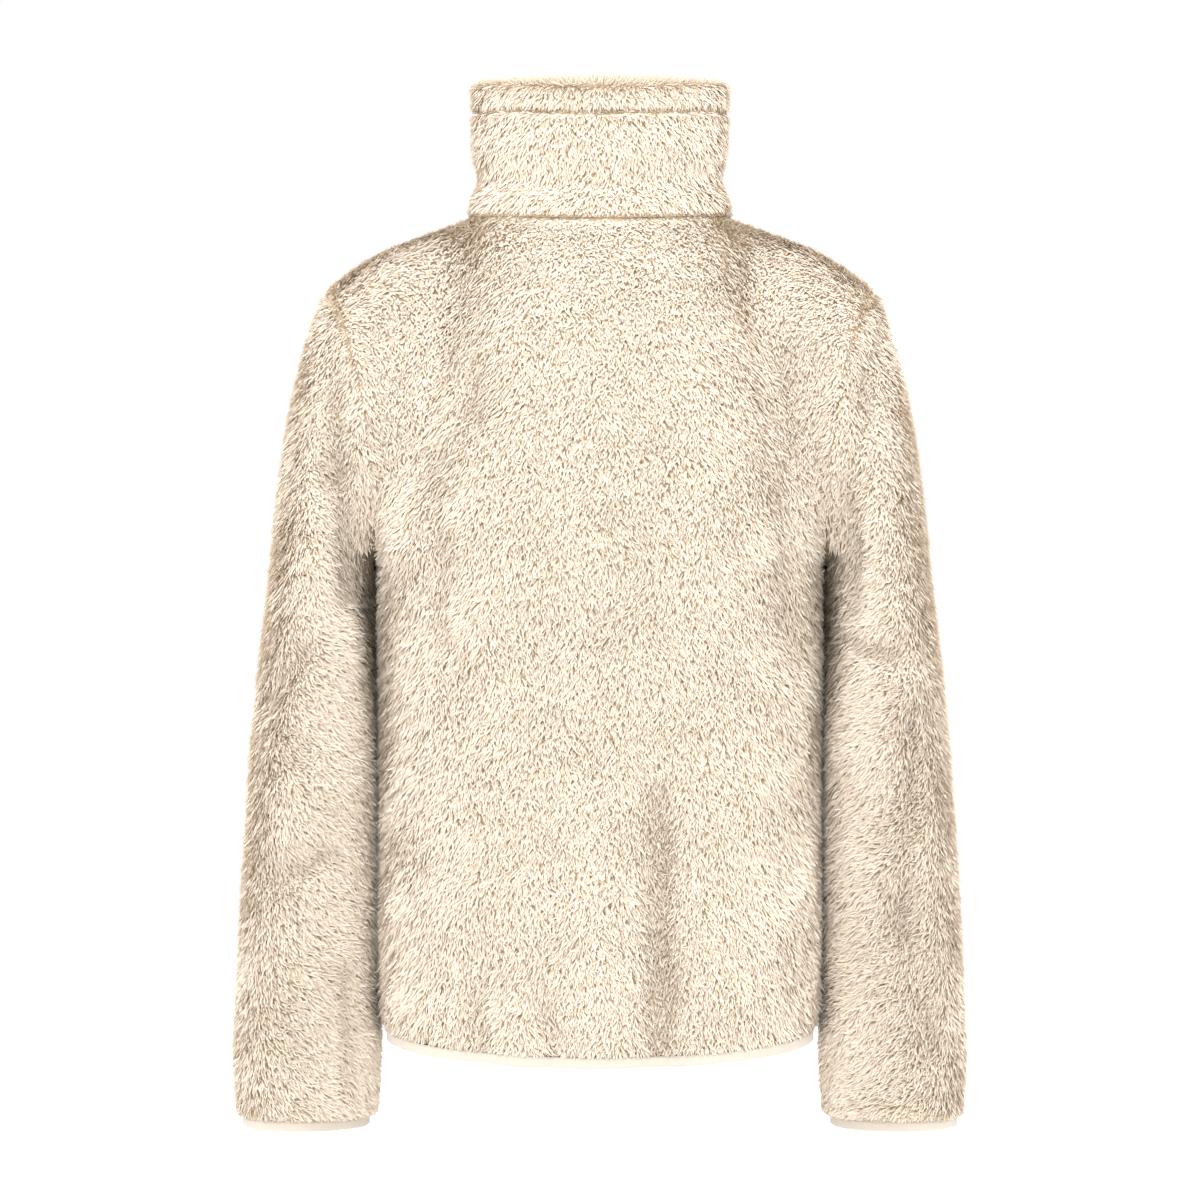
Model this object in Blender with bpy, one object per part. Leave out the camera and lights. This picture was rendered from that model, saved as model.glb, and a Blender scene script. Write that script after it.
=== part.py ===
"""A high-collared fleece jacket, filled out as it is worn, with no wearer in it.

Units are metres. +X is the wearer's left, -Y the front and +Z up. The origin is in the
middle of the neck, level with the seam between collar and shoulders.

Each cloth piece is a wall: a grid of points on its furry outside, and the same grid moved
inwards through the cloth. Pieces that are sewn together share their seam's points and its
direction through the wall, and each is drawn back from it by half of SEAM_GAP.
"""

import math

import bmesh
import bpy
import numpy as np
from mathutils import Matrix

COLLECTION = "fleece_jacket"
LEFT, RIGHT = 1, -1
BACK, FRONT = 1, -1

# Cloth: a knitted ground of 2 mm with a pile of 7 mm, and the collar's two layers.
WALL = 0.009
COLLAR_WALL = 0.011
SEAM_GAP = 0.0003

# Body
UNDERARM = -0.262
HEM = -0.609
HEM_DIP = 0.008
SECTION_POWER = 2.3
BODY_SECTIONS = (
    # height, half width, depth behind the middle, depth in front of it
    (-0.640, 0.1590, 0.136, 0.138),
    (-0.560, 0.1650, 0.132, 0.136),
    (-0.470, 0.1657, 0.127, 0.134),
    (-0.380, 0.1660, 0.125, 0.134),
    (-0.300, 0.1668, 0.129, 0.137),
    (-0.262, 0.1672, 0.132, 0.138),
)

# Shoulders and armholes
NECK_POINT = np.array((0.0998, -0.004, 0.000))
SHOULDER_POINT = np.array((0.2080, -0.004, -0.055))
SHOULDER_RISE, SHOULDER_WAVE = 0.0078, 0.0015
ARMHOLE_X = BODY_SECTIONS[-1][1]
ARMHOLE_DEPTH = {BACK: 0.074, FRONT: 0.068}
ARMHOLE_TURN = 3.2
ARMHOLE_REACH = 4
ARMHOLE_LEAN, ARMHOLE_LEAN_TOP = 0.08, 0.45

# How fast the upper body's curves leave the underarm's level, and how fast they reach its top edge
LEAVE_OUT, LEAVE_UP, LEAVE_UP_SIDE = 0.012, 0.230, 0.210
REACH_NECK_IN, REACH_NECK_UP = 0.150, 0.185
REACH_SHOULDER_IN, REACH_SHOULDER_UP = 0.160, 0.020

# Neck and collar
NECK_BACK, NECK_FRONT = 0.070, 0.080
NECK_DIP = {BACK: 0.006, FRONT: 0.052}
NECK_POWER = 2.1
COLLAR_HEIGHT = 0.1005
COLLAR_FULL = 0.018
COLLAR_SECTIONS = (
    # height above the seam, how far the outside stands off the seam's line
    (0.0000, 0.0000),
    (0.0090, -0.0010),
    (0.0180, -0.0036),
    (0.0260, -0.0070),
    (0.0340, -0.0060),
    (0.0440, -0.0034),
    (0.0580, -0.0026),
    (0.0700, -0.0028),
    (0.0760, -0.0026),
    (0.0790, -0.0048),
    (0.0820, -0.0026),
    (0.0900, -0.0024),
    (0.0965, -0.0032),
    (COLLAR_HEIGHT, -0.0060),
)

# Sleeves
SLEEVE_LEVEL = -0.345
CUFF = -0.6775
SLEEVE_SECTIONS = (
    # height, outer edge, inner edge, depth from the middle to the back, how far back the middle lies
    (-0.345, 0.2582, 0.1686, 0.0840, -0.004),
    (-0.400, 0.2632, 0.1678, 0.0800, -0.006),
    (-0.460, 0.2680, 0.1674, 0.0740, -0.010),
    (-0.520, 0.2722, 0.1671, 0.0680, -0.015),
    (-0.580, 0.2752, 0.1666, 0.0625, -0.021),
    (-0.640, 0.2784, 0.1664, 0.0580, -0.027),
    (-0.6775, 0.2762, 0.1688, 0.0540, -0.031),
)
SLEEVE_POWER = 2.15

# How fast the sleeve's curves leave the armhole and reach SLEEVE_LEVEL: over the shoulder, at the
# back and front, and at the underarm
CAP_OUT, CAP_OUT_SIDES, CAP_BACK = 0.101, 0.070, 0.030
CAP_DOWN, CAP_DOWN_UNDERARM = 0.260, 0.100
LEVEL_OUT, LEVEL_DOWN, LEVEL_DOWN_UNDERARM = 0.047, 0.300, 0.090

# Folds, as seen from behind or from in front: a trough is deep, a ridge has a depth below zero.
# They are full where the cloth turns this far to the back or front, and seams hold them flat.
FOLD_FACING = 0.45
SIDE_HOLD, TOP_HOLD, ARMHOLE_HOLD_ROWS = 8, 12, 0.8
BODY_FOLDS = (
    # facing, from x, z, to x, z, width, depth
    (BACK, -0.040, -0.430, -0.047, -0.640, 0.017, 0.0075),
    (BACK, 0.004, -0.450, 0.000, -0.610, 0.022, -0.0035),
    (BACK, 0.088, -0.560, 0.094, -0.640, 0.015, 0.0045),
    (BACK, 0.037, -0.580, 0.037, -0.640, 0.012, 0.0035),
    (BACK, 0.098, -0.045, 0.090, -0.140, 0.024, 0.0036),
    (BACK, 0.090, -0.140, 0.126, -0.190, 0.020, 0.0030),
    (BACK, 0.126, -0.190, 0.113, -0.330, 0.020, 0.0036),
    (BACK, -0.138, -0.110, -0.141, -0.330, 0.020, 0.0050),
    (BACK, -0.030, -0.125, -0.030, -0.290, 0.030, 0.0025),
    (BACK, -0.105, -0.380, -0.120, -0.560, 0.030, -0.0030),
    (FRONT, 0.075, -0.440, 0.082, -0.640, 0.018, 0.0060),
    (FRONT, -0.066, -0.460, -0.070, -0.640, 0.018, 0.0065),
    (FRONT, 0.120, -0.120, 0.118, -0.290, 0.020, 0.0050),
    (FRONT, -0.122, -0.130, -0.116, -0.300, 0.022, 0.0050),
)
SLEEVE_FOLDS = (
    # facing, from x, z, to x, z, width, depth
    (BACK, 0.196, -0.115, 0.192, -0.195, 0.016, 0.0075),
    (BACK, 0.192, -0.195, 0.178, -0.285, 0.016, 0.0070),
    (BACK, 0.222, -0.330, 0.252, -0.362, 0.014, 0.0050),
    (BACK, 0.205, -0.480, 0.245, -0.492, 0.014, 0.0045),
    (BACK, 0.187, -0.570, 0.186, -0.660, 0.012, 0.0045),
    (BACK, -0.203, -0.095, -0.195, -0.150, 0.016, 0.0060),
    (BACK, -0.182, -0.200, -0.182, -0.290, 0.016, 0.0060),
    (BACK, -0.178, -0.318, -0.215, -0.330, 0.014, 0.0050),
    (BACK, -0.236, -0.380, -0.226, -0.520, 0.016, 0.0045),
    (BACK, -0.226, -0.520, -0.250, -0.620, 0.016, 0.0045),
    (FRONT, 0.190, -0.330, 0.235, -0.350, 0.015, 0.0050),
    (FRONT, 0.186, -0.400, 0.232, -0.412, 0.014, 0.0045),
    (FRONT, -0.192, -0.345, -0.238, -0.360, 0.015, 0.0050),
    (FRONT, -0.188, -0.430, -0.230, -0.440, 0.014, 0.0045),
)

# Bindings: the strip's section, as how far in from the cloth's outside and how far below its edge.
BINDING_HEIGHT = 0.0082
CUFF_DRAW_IN = 0.0037
BINDING_SECTION = (
    (0.0034, 0.0003),
    (0.0018, 0.0014),
    (0.0018, 0.0070),
    (0.0034, BINDING_HEIGHT),
    (0.0062, BINDING_HEIGHT),
    (0.0074, 0.0070),
    (0.0074, 0.0014),
    (0.0062, 0.0003),
)

# Zip
ZIP_OPENING = 0.010
ZIP_STIFFNESS = 0.8
TAPE_INNER, TAPE_OUTER = 0.0031, 0.0180
TAPE_THICKNESS = 0.0008
CHAIN_WIDTH, CHAIN_THICKNESS = 0.0056, 0.0028
SLIDER_WIDTH, SLIDER_LENGTH, SLIDER_PLATE = 0.0084, 0.0130, 0.0014
SLIDER_BELOW_TOP = 0.0160
SLIDER_CLEARANCE = 0.0003
POST_WIDTH, POST_BOTTOM, POST_TOP = 0.0024, 0.0028, 0.0058
ARCH_WIDTH, ARCH_HALF_LENGTH, ARCH_METAL, ARCH_CLEARANCE = 0.0016, 0.0047, 0.0013, 0.0026
TAB_WIDTH, TAB_LENGTH, TAB_THICKNESS = 0.0060, 0.0270, 0.0012
TAB_BAR, TAB_HOLE_WIDTH, TAB_HOLE_LENGTH = 0.0014, 0.0026, 0.0060
TAB_NECK_LENGTH, TAB_TIP_WIDTH = 0.0095, 0.0050

# Faces along each stretch, and the direction that decides how a rim's faces are cut in two
RIM_SPLIT = np.array((0.31, 0.87, 0.38))
ROWS_BELOW, ROWS_ARMHOLE = 14, 12
SHOULDER_FACES, NECK_FACES = 5, 8
HALF_FACES = SHOULDER_FACES + NECK_FACES
UPPER_SLEEVE_ROWS, LOWER_SLEEVE_ROWS = 9, 15

PILE_CREAM = (0.80, 0.70, 0.57, 1)
BINDING_CREAM = (0.88, 0.80, 0.68, 1)
TAPE_CREAM = (0.76, 0.68, 0.56, 1)
TOOTH_CREAM = (0.82, 0.75, 0.64, 1)
METAL_GREY = (0.62, 0.60, 0.57, 1)


def signed_power(values, power):
    """The power of each number's size, with the number's own sign."""
    return np.sign(values) * np.abs(values) ** power


def along(table, heights):
    """The table's columns at each height, on smooth curves through its rows."""
    rows = np.array(sorted(table))
    knots = rows[:, 0]
    slopes = np.gradient(rows[:, 1:], knots, axis=0)
    heights = np.clip(heights, knots[0], knots[-1])
    low = np.clip(np.searchsorted(knots, heights, side="right") - 1, 0, len(knots) - 2)
    span = knots[low + 1] - knots[low]
    part = ((heights - knots[low]) / span)[..., None]
    span = span[..., None]
    starts, ends = rows[low, 1:], rows[low + 1, 1:]
    columns = hermite(starts, span * slopes[low], ends, span * slopes[low + 1], part)
    return np.moveaxis(columns, -1, 0)


def hermite(start, leaving, end, arriving, part):
    """The cubic curve between two points that leaves and arrives with the given speeds."""
    return (
        (2 * part**3 - 3 * part**2 + 1) * start
        + (part**3 - 2 * part**2 + part) * leaving
        + (3 * part**2 - 2 * part**3) * end
        + (part**3 - part**2) * arriving
    )


def unit(vectors):
    return vectors / np.linalg.norm(vectors, axis=-1, keepdims=True)


def stacked(x, y, z):
    return np.stack(np.broadcast_arrays(x, y, z), axis=-1).astype(float)


def normals_of(points, around):
    """Directions out of a grid of points that goes round the middle of each of its rows."""
    if around:
        across = np.roll(points, -1, axis=1) - np.roll(points, 1, axis=1)
    else:
        across = np.gradient(points, axis=1)
    up = np.gradient(points, axis=0)
    return unit(np.cross(across, up))


def facing_out(normals, points, middle):
    """The normals, all turned round if they point at the middle."""
    return normals * np.sign(np.sum(normals * (points - middle)))


def relief(points, normals, folds, hold):
    """Points pushed in along their normals by the folds, less near a seam, where hold is 1."""
    shift = np.zeros(points.shape[:2])
    for facing, x0, z0, x1, z1, width, depth in folds:
        run = np.array((x1 - x0, z1 - z0))
        offset = points[..., (0, 2)] - np.array((x0, z0))
        part = np.clip(offset @ run / (run @ run), 0, 1)
        away = np.linalg.norm(offset - part[..., None] * run, axis=-1)
        seen = np.clip(facing * normals[..., 1] / FOLD_FACING, 0, 1)
        shift += depth * seen * np.exp(-((away / width) ** 2))
    return points - ((1 - hold) * shift)[..., None] * normals


# The shape of the body


def body_ring(angle, height):
    """The body's outside at an angle from the middle of the back, with the wearer's left above zero."""
    half, behind, before = along(BODY_SECTIONS, height)
    depth = np.where(np.cos(angle) > 0, behind, before)
    dip = HEM_DIP * np.clip(np.cos(angle), 0, 1) ** 2
    dip = dip * np.clip((UNDERARM - height) / (UNDERARM - HEM), 0, 1) ** 3
    return stacked(
        half * signed_power(np.sin(angle), 2 / SECTION_POWER),
        depth * signed_power(np.cos(angle), 2 / SECTION_POWER),
        height - dip,
    )


def neck_ring(angle, stand_off, rise):
    """A line round the collar, at an angle from the middle of the back."""
    power = 2 / NECK_POWER
    behind = np.cos(angle) > 0
    depth = np.where(behind, NECK_BACK, NECK_FRONT) + stand_off
    dip = np.where(behind, NECK_DIP[BACK], NECK_DIP[FRONT])
    return stacked(
        (NECK_POINT[0] + stand_off) * signed_power(np.sin(angle), power),
        NECK_POINT[1] + depth * signed_power(np.cos(angle), power),
        rise - dip * np.cos(angle) ** 2,
    )


def edge_angle(half_width, power):
    """How far before the middle of the front the zip's edge lies, as an angle."""
    return math.asin((ZIP_OPENING / 2 / half_width) ** (power / 2))


def shoulder_line(part):
    """The shoulder seam, from the neck at 0 to the shoulder point at 1, bowed upwards."""
    part = part[..., None]
    line = NECK_POINT + part * (SHOULDER_POINT - NECK_POINT)
    bow = SHOULDER_RISE * np.sin(math.pi * part) - SHOULDER_WAVE * np.sin(2 * math.pi * part)
    return line + np.array((0, 0, 1)) * bow


def armhole(turn, side):
    """The armhole at a turn from the shoulder point, over the back at 90 degrees and the underarm at 180."""
    top = (1 + np.cos(turn)) / 2
    depth = np.where(np.sin(turn) > 0, ARMHOLE_DEPTH[BACK], ARMHOLE_DEPTH[FRONT])
    return stacked(
        side * (ARMHOLE_X + (SHOULDER_POINT[0] - ARMHOLE_X) * top**ARMHOLE_TURN),
        top * SHOULDER_POINT[1] + depth * np.sin(turn),
        UNDERARM + (SHOULDER_POINT[2] - UNDERARM) * top,
    )


def armhole_normals(turn, side):
    """Directions through the wall at the armhole seam: away from the arm that goes through it."""
    top = (1 + np.cos(turn)) / 2
    lean = ARMHOLE_LEAN + ARMHOLE_LEAN_TOP * top
    return unit(stacked(side * lean, np.sin(turn), np.cos(turn)))


def top_line(part, facing, side):
    """The panel's top edge: the neck seam up to the neck point, then the shoulder seam."""
    neck_share = 1 - SHOULDER_FACES / HALF_FACES
    turn = np.clip(part / neck_share, 0, 1) * math.pi / 2
    if facing == FRONT:
        turn = np.minimum(math.pi - turn, math.pi - edge_angle(NECK_POINT[0], NECK_POWER))
    neck = neck_ring(turn, 0, 0)
    shoulder = shoulder_line(np.clip((part - neck_share) / (1 - neck_share), 0, 1))
    line = np.where((part > neck_share)[..., None], shoulder, neck)
    return line * np.array((side, 1, 1))


def half_panel(facing, side):
    """Half of the back, or one front: rows from hem to top, columns from the middle to the side."""
    part = np.linspace(0, 1, HALF_FACES + 1)
    angle = part * math.pi / 2
    if facing == FRONT:
        half = along(BODY_SECTIONS, np.array(UNDERARM))[0]
        angle = np.minimum(math.pi - angle, math.pi - edge_angle(float(half), SECTION_POWER))
    angle = side * angle
    heights = np.linspace(HEM, UNDERARM, ROWS_BELOW + 1)
    lower = body_ring(angle[None, :], heights[:, None])
    if facing == FRONT:
        lower[:, 0, 0] = side * ZIP_OPENING / 2
    start, end = lower[-1], top_line(part, facing, side)
    rising = LEAVE_UP + part * (LEAVE_UP_SIDE - LEAVE_UP)
    leaving = stacked(0, facing * LEAVE_OUT * (1 - part), rising)
    over = np.clip(part * HALF_FACES / NECK_FACES, 0, 1) ** 2
    inwards = REACH_NECK_IN + over * (REACH_SHOULDER_IN - REACH_NECK_IN)
    rising = REACH_NECK_UP + over * (REACH_SHOULDER_UP - REACH_NECK_UP)
    arriving = stacked(0, -facing * inwards, rising)
    rise = (np.arange(1, ROWS_ARMHOLE + 1) / ROWS_ARMHOLE)[:, None, None]
    upper = hermite(start, leaving, end, arriving, rise)
    turn = facing * math.pi * (1 - rise[:, 0, 0])
    correction = armhole(turn, side) - upper[:, -1]
    upper += correction[:, None] * part[None, :, None] ** ARMHOLE_REACH
    return np.concatenate((lower, upper))


def body_panels():
    """The three body panels' points, each with the share by which a seam holds its folds flat."""
    halves = {(f, s): half_panel(f, s) for f in (BACK, FRONT) for s in (LEFT, RIGHT)}
    back = np.concatenate((halves[BACK, RIGHT][:, :0:-1], halves[BACK, LEFT]), axis=1)
    panels = {"back": back}
    panels["front_left"] = halves[FRONT, LEFT]
    panels["front_right"] = halves[FRONT, RIGHT]
    shaped = {}
    for name, points in panels.items():
        start = -1 if name == "back" else 0
        across = np.linspace(start, 1, points.shape[1])[None, :]
        rise = np.linspace(0, 1, points.shape[0])[:, None]
        hold = np.maximum(np.abs(across) ** SIDE_HOLD, rise**TOP_HOLD)
        middle = np.array((0, 0, -0.3))
        normals = facing_out(normals_of(points, False), points, middle)
        points = relief(points, normals, BODY_FOLDS, hold)
        normals = facing_out(normals_of(points, False), points, middle)
        shaped[name] = (points, normals)
    return shaped


def sleeve(side):
    """One sleeve's points and normals: rows from armhole to cuff, columns round from the shoulder point."""
    turn = np.linspace(0, 2 * math.pi, 2 * ROWS_ARMHOLE, endpoint=False)
    heights = np.linspace(SLEEVE_LEVEL, CUFF, LOWER_SLEEVE_ROWS + 1)[:, None]
    outer, inner, depth, back_by = along(SLEEVE_SECTIONS, heights[:, 0])[..., None]
    power = 2 / SLEEVE_POWER
    lower = stacked(
        side * ((outer + inner) / 2 + (outer - inner) / 2 * signed_power(np.cos(turn), power)),
        back_by + depth * signed_power(np.sin(turn), power),
        heights,
    )
    start, end = armhole(turn, side), lower[0]
    top = (1 + np.cos(turn)) / 2
    bottom = 1 - top
    away = CAP_OUT * top + CAP_OUT_SIDES * np.abs(np.sin(turn))
    falling = CAP_DOWN * top + CAP_DOWN_UNDERARM * bottom
    leaving = stacked(side * away, CAP_BACK * np.sin(turn), -falling)
    falling = LEVEL_DOWN * top + LEVEL_DOWN_UNDERARM * bottom
    arriving = stacked(side * LEVEL_OUT * top, 0, -falling)
    part = (np.arange(UPPER_SLEEVE_ROWS) / UPPER_SLEEVE_ROWS)[:, None, None]
    points = np.concatenate((hermite(start, leaving, end, arriving, part), lower))
    middle = points.mean(axis=1, keepdims=True)
    hold = np.exp(-np.arange(points.shape[0]) / ARMHOLE_HOLD_ROWS)[:, None]
    normals = facing_out(normals_of(points, True), points, middle)
    points = relief(points, normals, SLEEVE_FOLDS, hold)
    normals = facing_out(normals_of(points, True), points, middle)
    return points, normals


def collar():
    """The collar's points and normals, in columns from the zip's left edge round the back to its right."""
    quarter = math.pi / 2
    edge = math.pi - edge_angle(NECK_POINT[0], NECK_POWER)
    front = math.pi - np.linspace(0, quarter, NECK_FACES + 1)
    front = np.minimum(front, edge)
    half = np.concatenate((front, np.linspace(quarter, 0, NECK_FACES + 1)[1:]))
    turn = np.concatenate((half, -half[-2::-1]))
    rise, stand_off = np.array(COLLAR_SECTIONS).T[..., None]
    front = np.clip(-np.cos(turn), 0, 1) ** 2
    points = neck_ring(turn[None, :], stand_off * (1 - ZIP_STIFFNESS * front), rise)
    points[:, 0, 0] = ZIP_OPENING / 2
    points[:, -1, 0] = -ZIP_OPENING / 2
    middle = np.array((0, 0, 0.05))
    normals = facing_out(normals_of(points, False), points, middle)
    return points, normals


def collar_thickness():
    """The collar's thickness along its rows: the body's at the seam, its own a little above."""
    rise = np.array(COLLAR_SECTIONS)[:, 0]
    return np.interp(rise, (0, COLLAR_FULL), (WALL, COLLAR_WALL))


# Seams


def level(normals):
    """The normals with no rise, as along a hem, so that what is sewn under it stays upright."""
    return unit(normals * np.array((1, 1, 0)))


def straight(normals):
    """The normals with no lean to either side, as along the zip."""
    return unit(normals * np.array((0, 1, 1)))


def share(*borders):
    """Gives borders that meet at a seam the same direction through the wall."""
    total = unit(sum(borders))
    for border in borders:
        border[...] = total


def close_seams(panels, sleeves, neck):
    """Makes directions through the wall agree along every seam, and draws the pieces apart there."""
    half_gap = SEAM_GAP / 2
    back = panels["back"]
    neck_points, neck_normals = neck
    for _, normals in panels.values():
        normals[0] = level(normals[0])
    for _, normals in sleeves.values():
        normals[-1] = level(normals[-1])
    for edge in (panels["front_left"][1][:, 0], panels["front_right"][1][:, 0]):
        edge[...] = straight(edge)
    for column in (0, -1):
        neck_normals[:, column] = straight(neck_normals[:, column])
    for side, front in ((LEFT, panels["front_left"]), (RIGHT, panels["front_right"])):
        # From here on column 0 is the side seam of both panels, and the neck point is column SHOULDER_FACES.
        flip = slice(None, None, -1 if side == LEFT else 1)
        back_points, back_normals = back[0][:, flip], back[1][:, flip]
        front_points, front_normals = front[0][:, ::-1], front[1][:, ::-1]
        ring_normals = neck_normals[:, ::side]
        share(back_normals[:ROWS_BELOW, 0], front_normals[:ROWS_BELOW, 0])
        shoulder = slice(1, SHOULDER_FACES)
        share(back_normals[-1, shoulder], front_normals[-1, shoulder])
        share(
            back_normals[-1, SHOULDER_FACES],
            front_normals[-1, SHOULDER_FACES],
            ring_normals[0, NECK_FACES],
        )
        share(front_normals[-1, SHOULDER_FACES + 1 :], ring_normals[0, :NECK_FACES][::-1])
        share(
            back_normals[-1, SHOULDER_FACES + 1 : HALF_FACES + 1],
            ring_normals[0, NECK_FACES + 1 : 2 * NECK_FACES + 1],
        )
        turn = np.linspace(math.pi, 0, ROWS_ARMHOLE + 1)
        back_normals[ROWS_BELOW:, 0] = armhole_normals(turn, side)
        front_normals[ROWS_BELOW:, 0] = armhole_normals(-turn, side)
        around = np.linspace(0, 2 * math.pi, 2 * ROWS_ARMHOLE, endpoint=False)
        sleeves[side][1][0] = armhole_normals(around, side)
        # Side seam and shoulder seam part backwards and forwards, the armhole sideways.
        for points, facing in ((back_points, BACK), (front_points, FRONT)):
            points[: ROWS_BELOW + 1, 0, 1] += facing * half_gap
            points[-1, : SHOULDER_FACES + 1, 1] += facing * half_gap
            points[ROWS_BELOW:, 0, 0] -= side * half_gap
        sleeves[side][0][0, :, 0] += side * half_gap
    # The collar parts from the body along the cloth, square to the seam.
    lift = unit(np.cross(np.gradient(neck_points[0], axis=0), neck_normals[0]))
    lift *= half_gap * np.sign(lift[:, 2:])
    neck_points[0] += lift
    back[0][-1, SHOULDER_FACES:-SHOULDER_FACES] -= lift[NECK_FACES : 3 * NECK_FACES + 1][::-1]
    for name, own in (("front_left", lift), ("front_right", lift[::-1])):
        panels[name][0][-1, : NECK_FACES + 1] -= own[: NECK_FACES + 1]


# Blender objects


def material(name, colour, roughness, metallic=0.0):
    made = bpy.data.materials.new(name)
    made.use_nodes = True
    shader = made.node_tree.nodes["Principled BSDF"]
    shader.inputs["Base Color"].default_value = colour
    shader.inputs["Roughness"].default_value = roughness
    shader.inputs["Metallic"].default_value = metallic
    return made


def place(name, mesh, collection, finish, smooth=True):
    """A new object of this mesh, shaded and given its material."""
    made = bpy.data.objects.new(name, mesh)
    collection.objects.link(made)
    mesh.materials.append(finish)
    if smooth:
        mesh.shade_smooth()
        mesh.set_sharp_from_angle(angle=math.radians(50))
    return made


def solid_mesh(name, points, faces):
    mesh = bpy.data.meshes.new(name)
    mesh.from_pydata(points.tolist(), [], faces)
    shape = bmesh.new()
    shape.from_mesh(mesh)
    bmesh.ops.recalc_face_normals(shape, faces=shape.faces)
    shape.to_mesh(mesh)
    shape.free()
    return mesh


def grid_faces(rows, columns, around):
    """The four corners of each face of a grid of points, in the order of its rows."""
    index = np.arange(rows * columns).reshape(rows, columns)
    if around:
        index = np.concatenate((index, index[:, :1]), axis=1)
    corners = (index[:-1, :-1], index[:-1, 1:], index[1:, 1:], index[1:, :-1])
    return np.stack(corners, axis=-1).reshape(-1, 4), index


def wall_mesh(name, outside, inside, around=False):
    """A closed wall between two grids of the same size, open or closed round its rows.

    Each face of its rim is cut in two from the end that RIM_SPLIT puts first, so that the
    rims of two pieces that meet are cut alike and stay apart.
    """
    rows, columns = outside.shape[:2]
    outer_faces, index = grid_faces(rows, columns, around)
    count = rows * columns
    faces = [*outer_faces.tolist(), *(outer_faces[:, ::-1] + count).tolist()]
    edges = [index[0], index[-1]]
    if not around:
        edges += [index[:, 0], index[:, -1]]
    points = np.concatenate((outside.reshape(-1, 3), inside.reshape(-1, 3)))
    order = points @ RIM_SPLIT
    for edge in edges:
        for a, b in zip(edge[:-1].tolist(), edge[1:].tolist()):
            low, high = (a, b) if order[a] < order[b] else (b, a)
            faces.append((low, high, high + count))
            faces.append((low, high + count, low + count))
    return solid_mesh(name, points, faces)


def swept_mesh(name, edge, inwards, section, around):
    """A strip with the given section of insets and drops, carried along an edge."""
    inset, drop = np.array(section).T
    rings = edge[:, None] + inset[:, None] * inwards[:, None]
    rings[..., 2] -= drop
    faces, _ = grid_faces(*rings.shape[:2], True)
    faces = faces.tolist()
    size = len(section)
    if around:
        last = (len(rings) - 1) * size
        for a in range(size):
            b = (a + 1) % size
            faces.append((last + a, last + b, b, a))
    else:
        faces.append(tuple(range(size)))
        faces.append(tuple(range((len(rings) - 1) * size, len(rings) * size)))
    return solid_mesh(name, rings.reshape(-1, 3), faces)


def add_cloth(panels, sleeves, neck, collection):
    pile = material("cream_pile", PILE_CREAM, 0.95)
    for name, (points, normals) in panels.items():
        place(name, wall_mesh(name, points, points - WALL * normals), collection, pile.copy())
    for side, name in ((LEFT, "sleeve_left"), (RIGHT, "sleeve_right")):
        points, normals = sleeves[side]
        mesh = wall_mesh(name, points, points - WALL * normals, True)
        place(name, mesh, collection, pile.copy())
    points, normals = neck
    thickness = collar_thickness()[:, None, None]
    mesh = wall_mesh("collar", points, points - thickness * normals)
    place("collar", mesh, collection, pile)


def add_bindings(panels, sleeves, collection):
    finish = material("smooth_binding", BINDING_CREAM, 0.8)
    order = (
        ("front_left", slice(None)),
        ("back", slice(-2, 0, -1)),
        ("front_right", slice(None, None, -1)),
    )
    edge = np.concatenate([panels[name][0][0, columns] for name, columns in order])
    out = np.concatenate([panels[name][1][0, columns] for name, columns in order])
    mesh = swept_mesh("hem_binding", edge, -out, BINDING_SECTION, False)
    place("hem_binding", mesh, collection, finish.copy())
    for side, name in ((LEFT, "cuff_binding_left"), (RIGHT, "cuff_binding_right")):
        points, normals = sleeves[side]
        inwards = -normals[-1]
        shifted = points[-1] + CUFF_DRAW_IN * inwards
        mesh = swept_mesh(name, shifted, inwards, BINDING_SECTION, True)
        place(name, mesh, collection, finish.copy())


def zip_columns(panels, neck, side):
    """The inside of one front and of the collar above it: their two columns nearest the zip."""
    points, normals = panels["front_left" if side == LEFT else "front_right"]
    ring_points, ring_normals = neck[0][:, ::side], neck[1][:, ::side]
    out = np.concatenate((normals[:-1, :2], ring_normals[:, :2]))
    thickness = np.concatenate((np.full(len(normals) - 1, WALL), collar_thickness()))
    outside = np.concatenate((points[:-1, :2], ring_points[:, :2]))
    return outside - thickness[:, None, None] * out, out


def tape_points(panels, neck, side):
    """The tape's two edges on the side that lies on the cloth, and its directions out."""
    inside, out = zip_columns(panels, neck, side)
    width = (inside[:, 1, 0] - inside[:, 0, 0])[:, None]
    edges = []
    for reach in (TAPE_INNER, TAPE_OUTER):
        part = (side * reach - inside[:, 0, :1]) / width
        edges.append(inside[:, 0] + part * (inside[:, 1] - inside[:, 0]))
    out = np.repeat(out[:, :1], 2, axis=1)
    return np.stack(edges, axis=1) - SEAM_GAP * out, out


def middle_line(panels, neck):
    """The chain's middle: points level with the tapes, at x = 0, and directions out of the front."""
    points, out = tape_points(panels, neck, LEFT)
    line = points[:, 0] - TAPE_THICKNESS / 2 * out[:, 0]
    line[:, 0] = 0
    return line, straight(out[:, 0])


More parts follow.
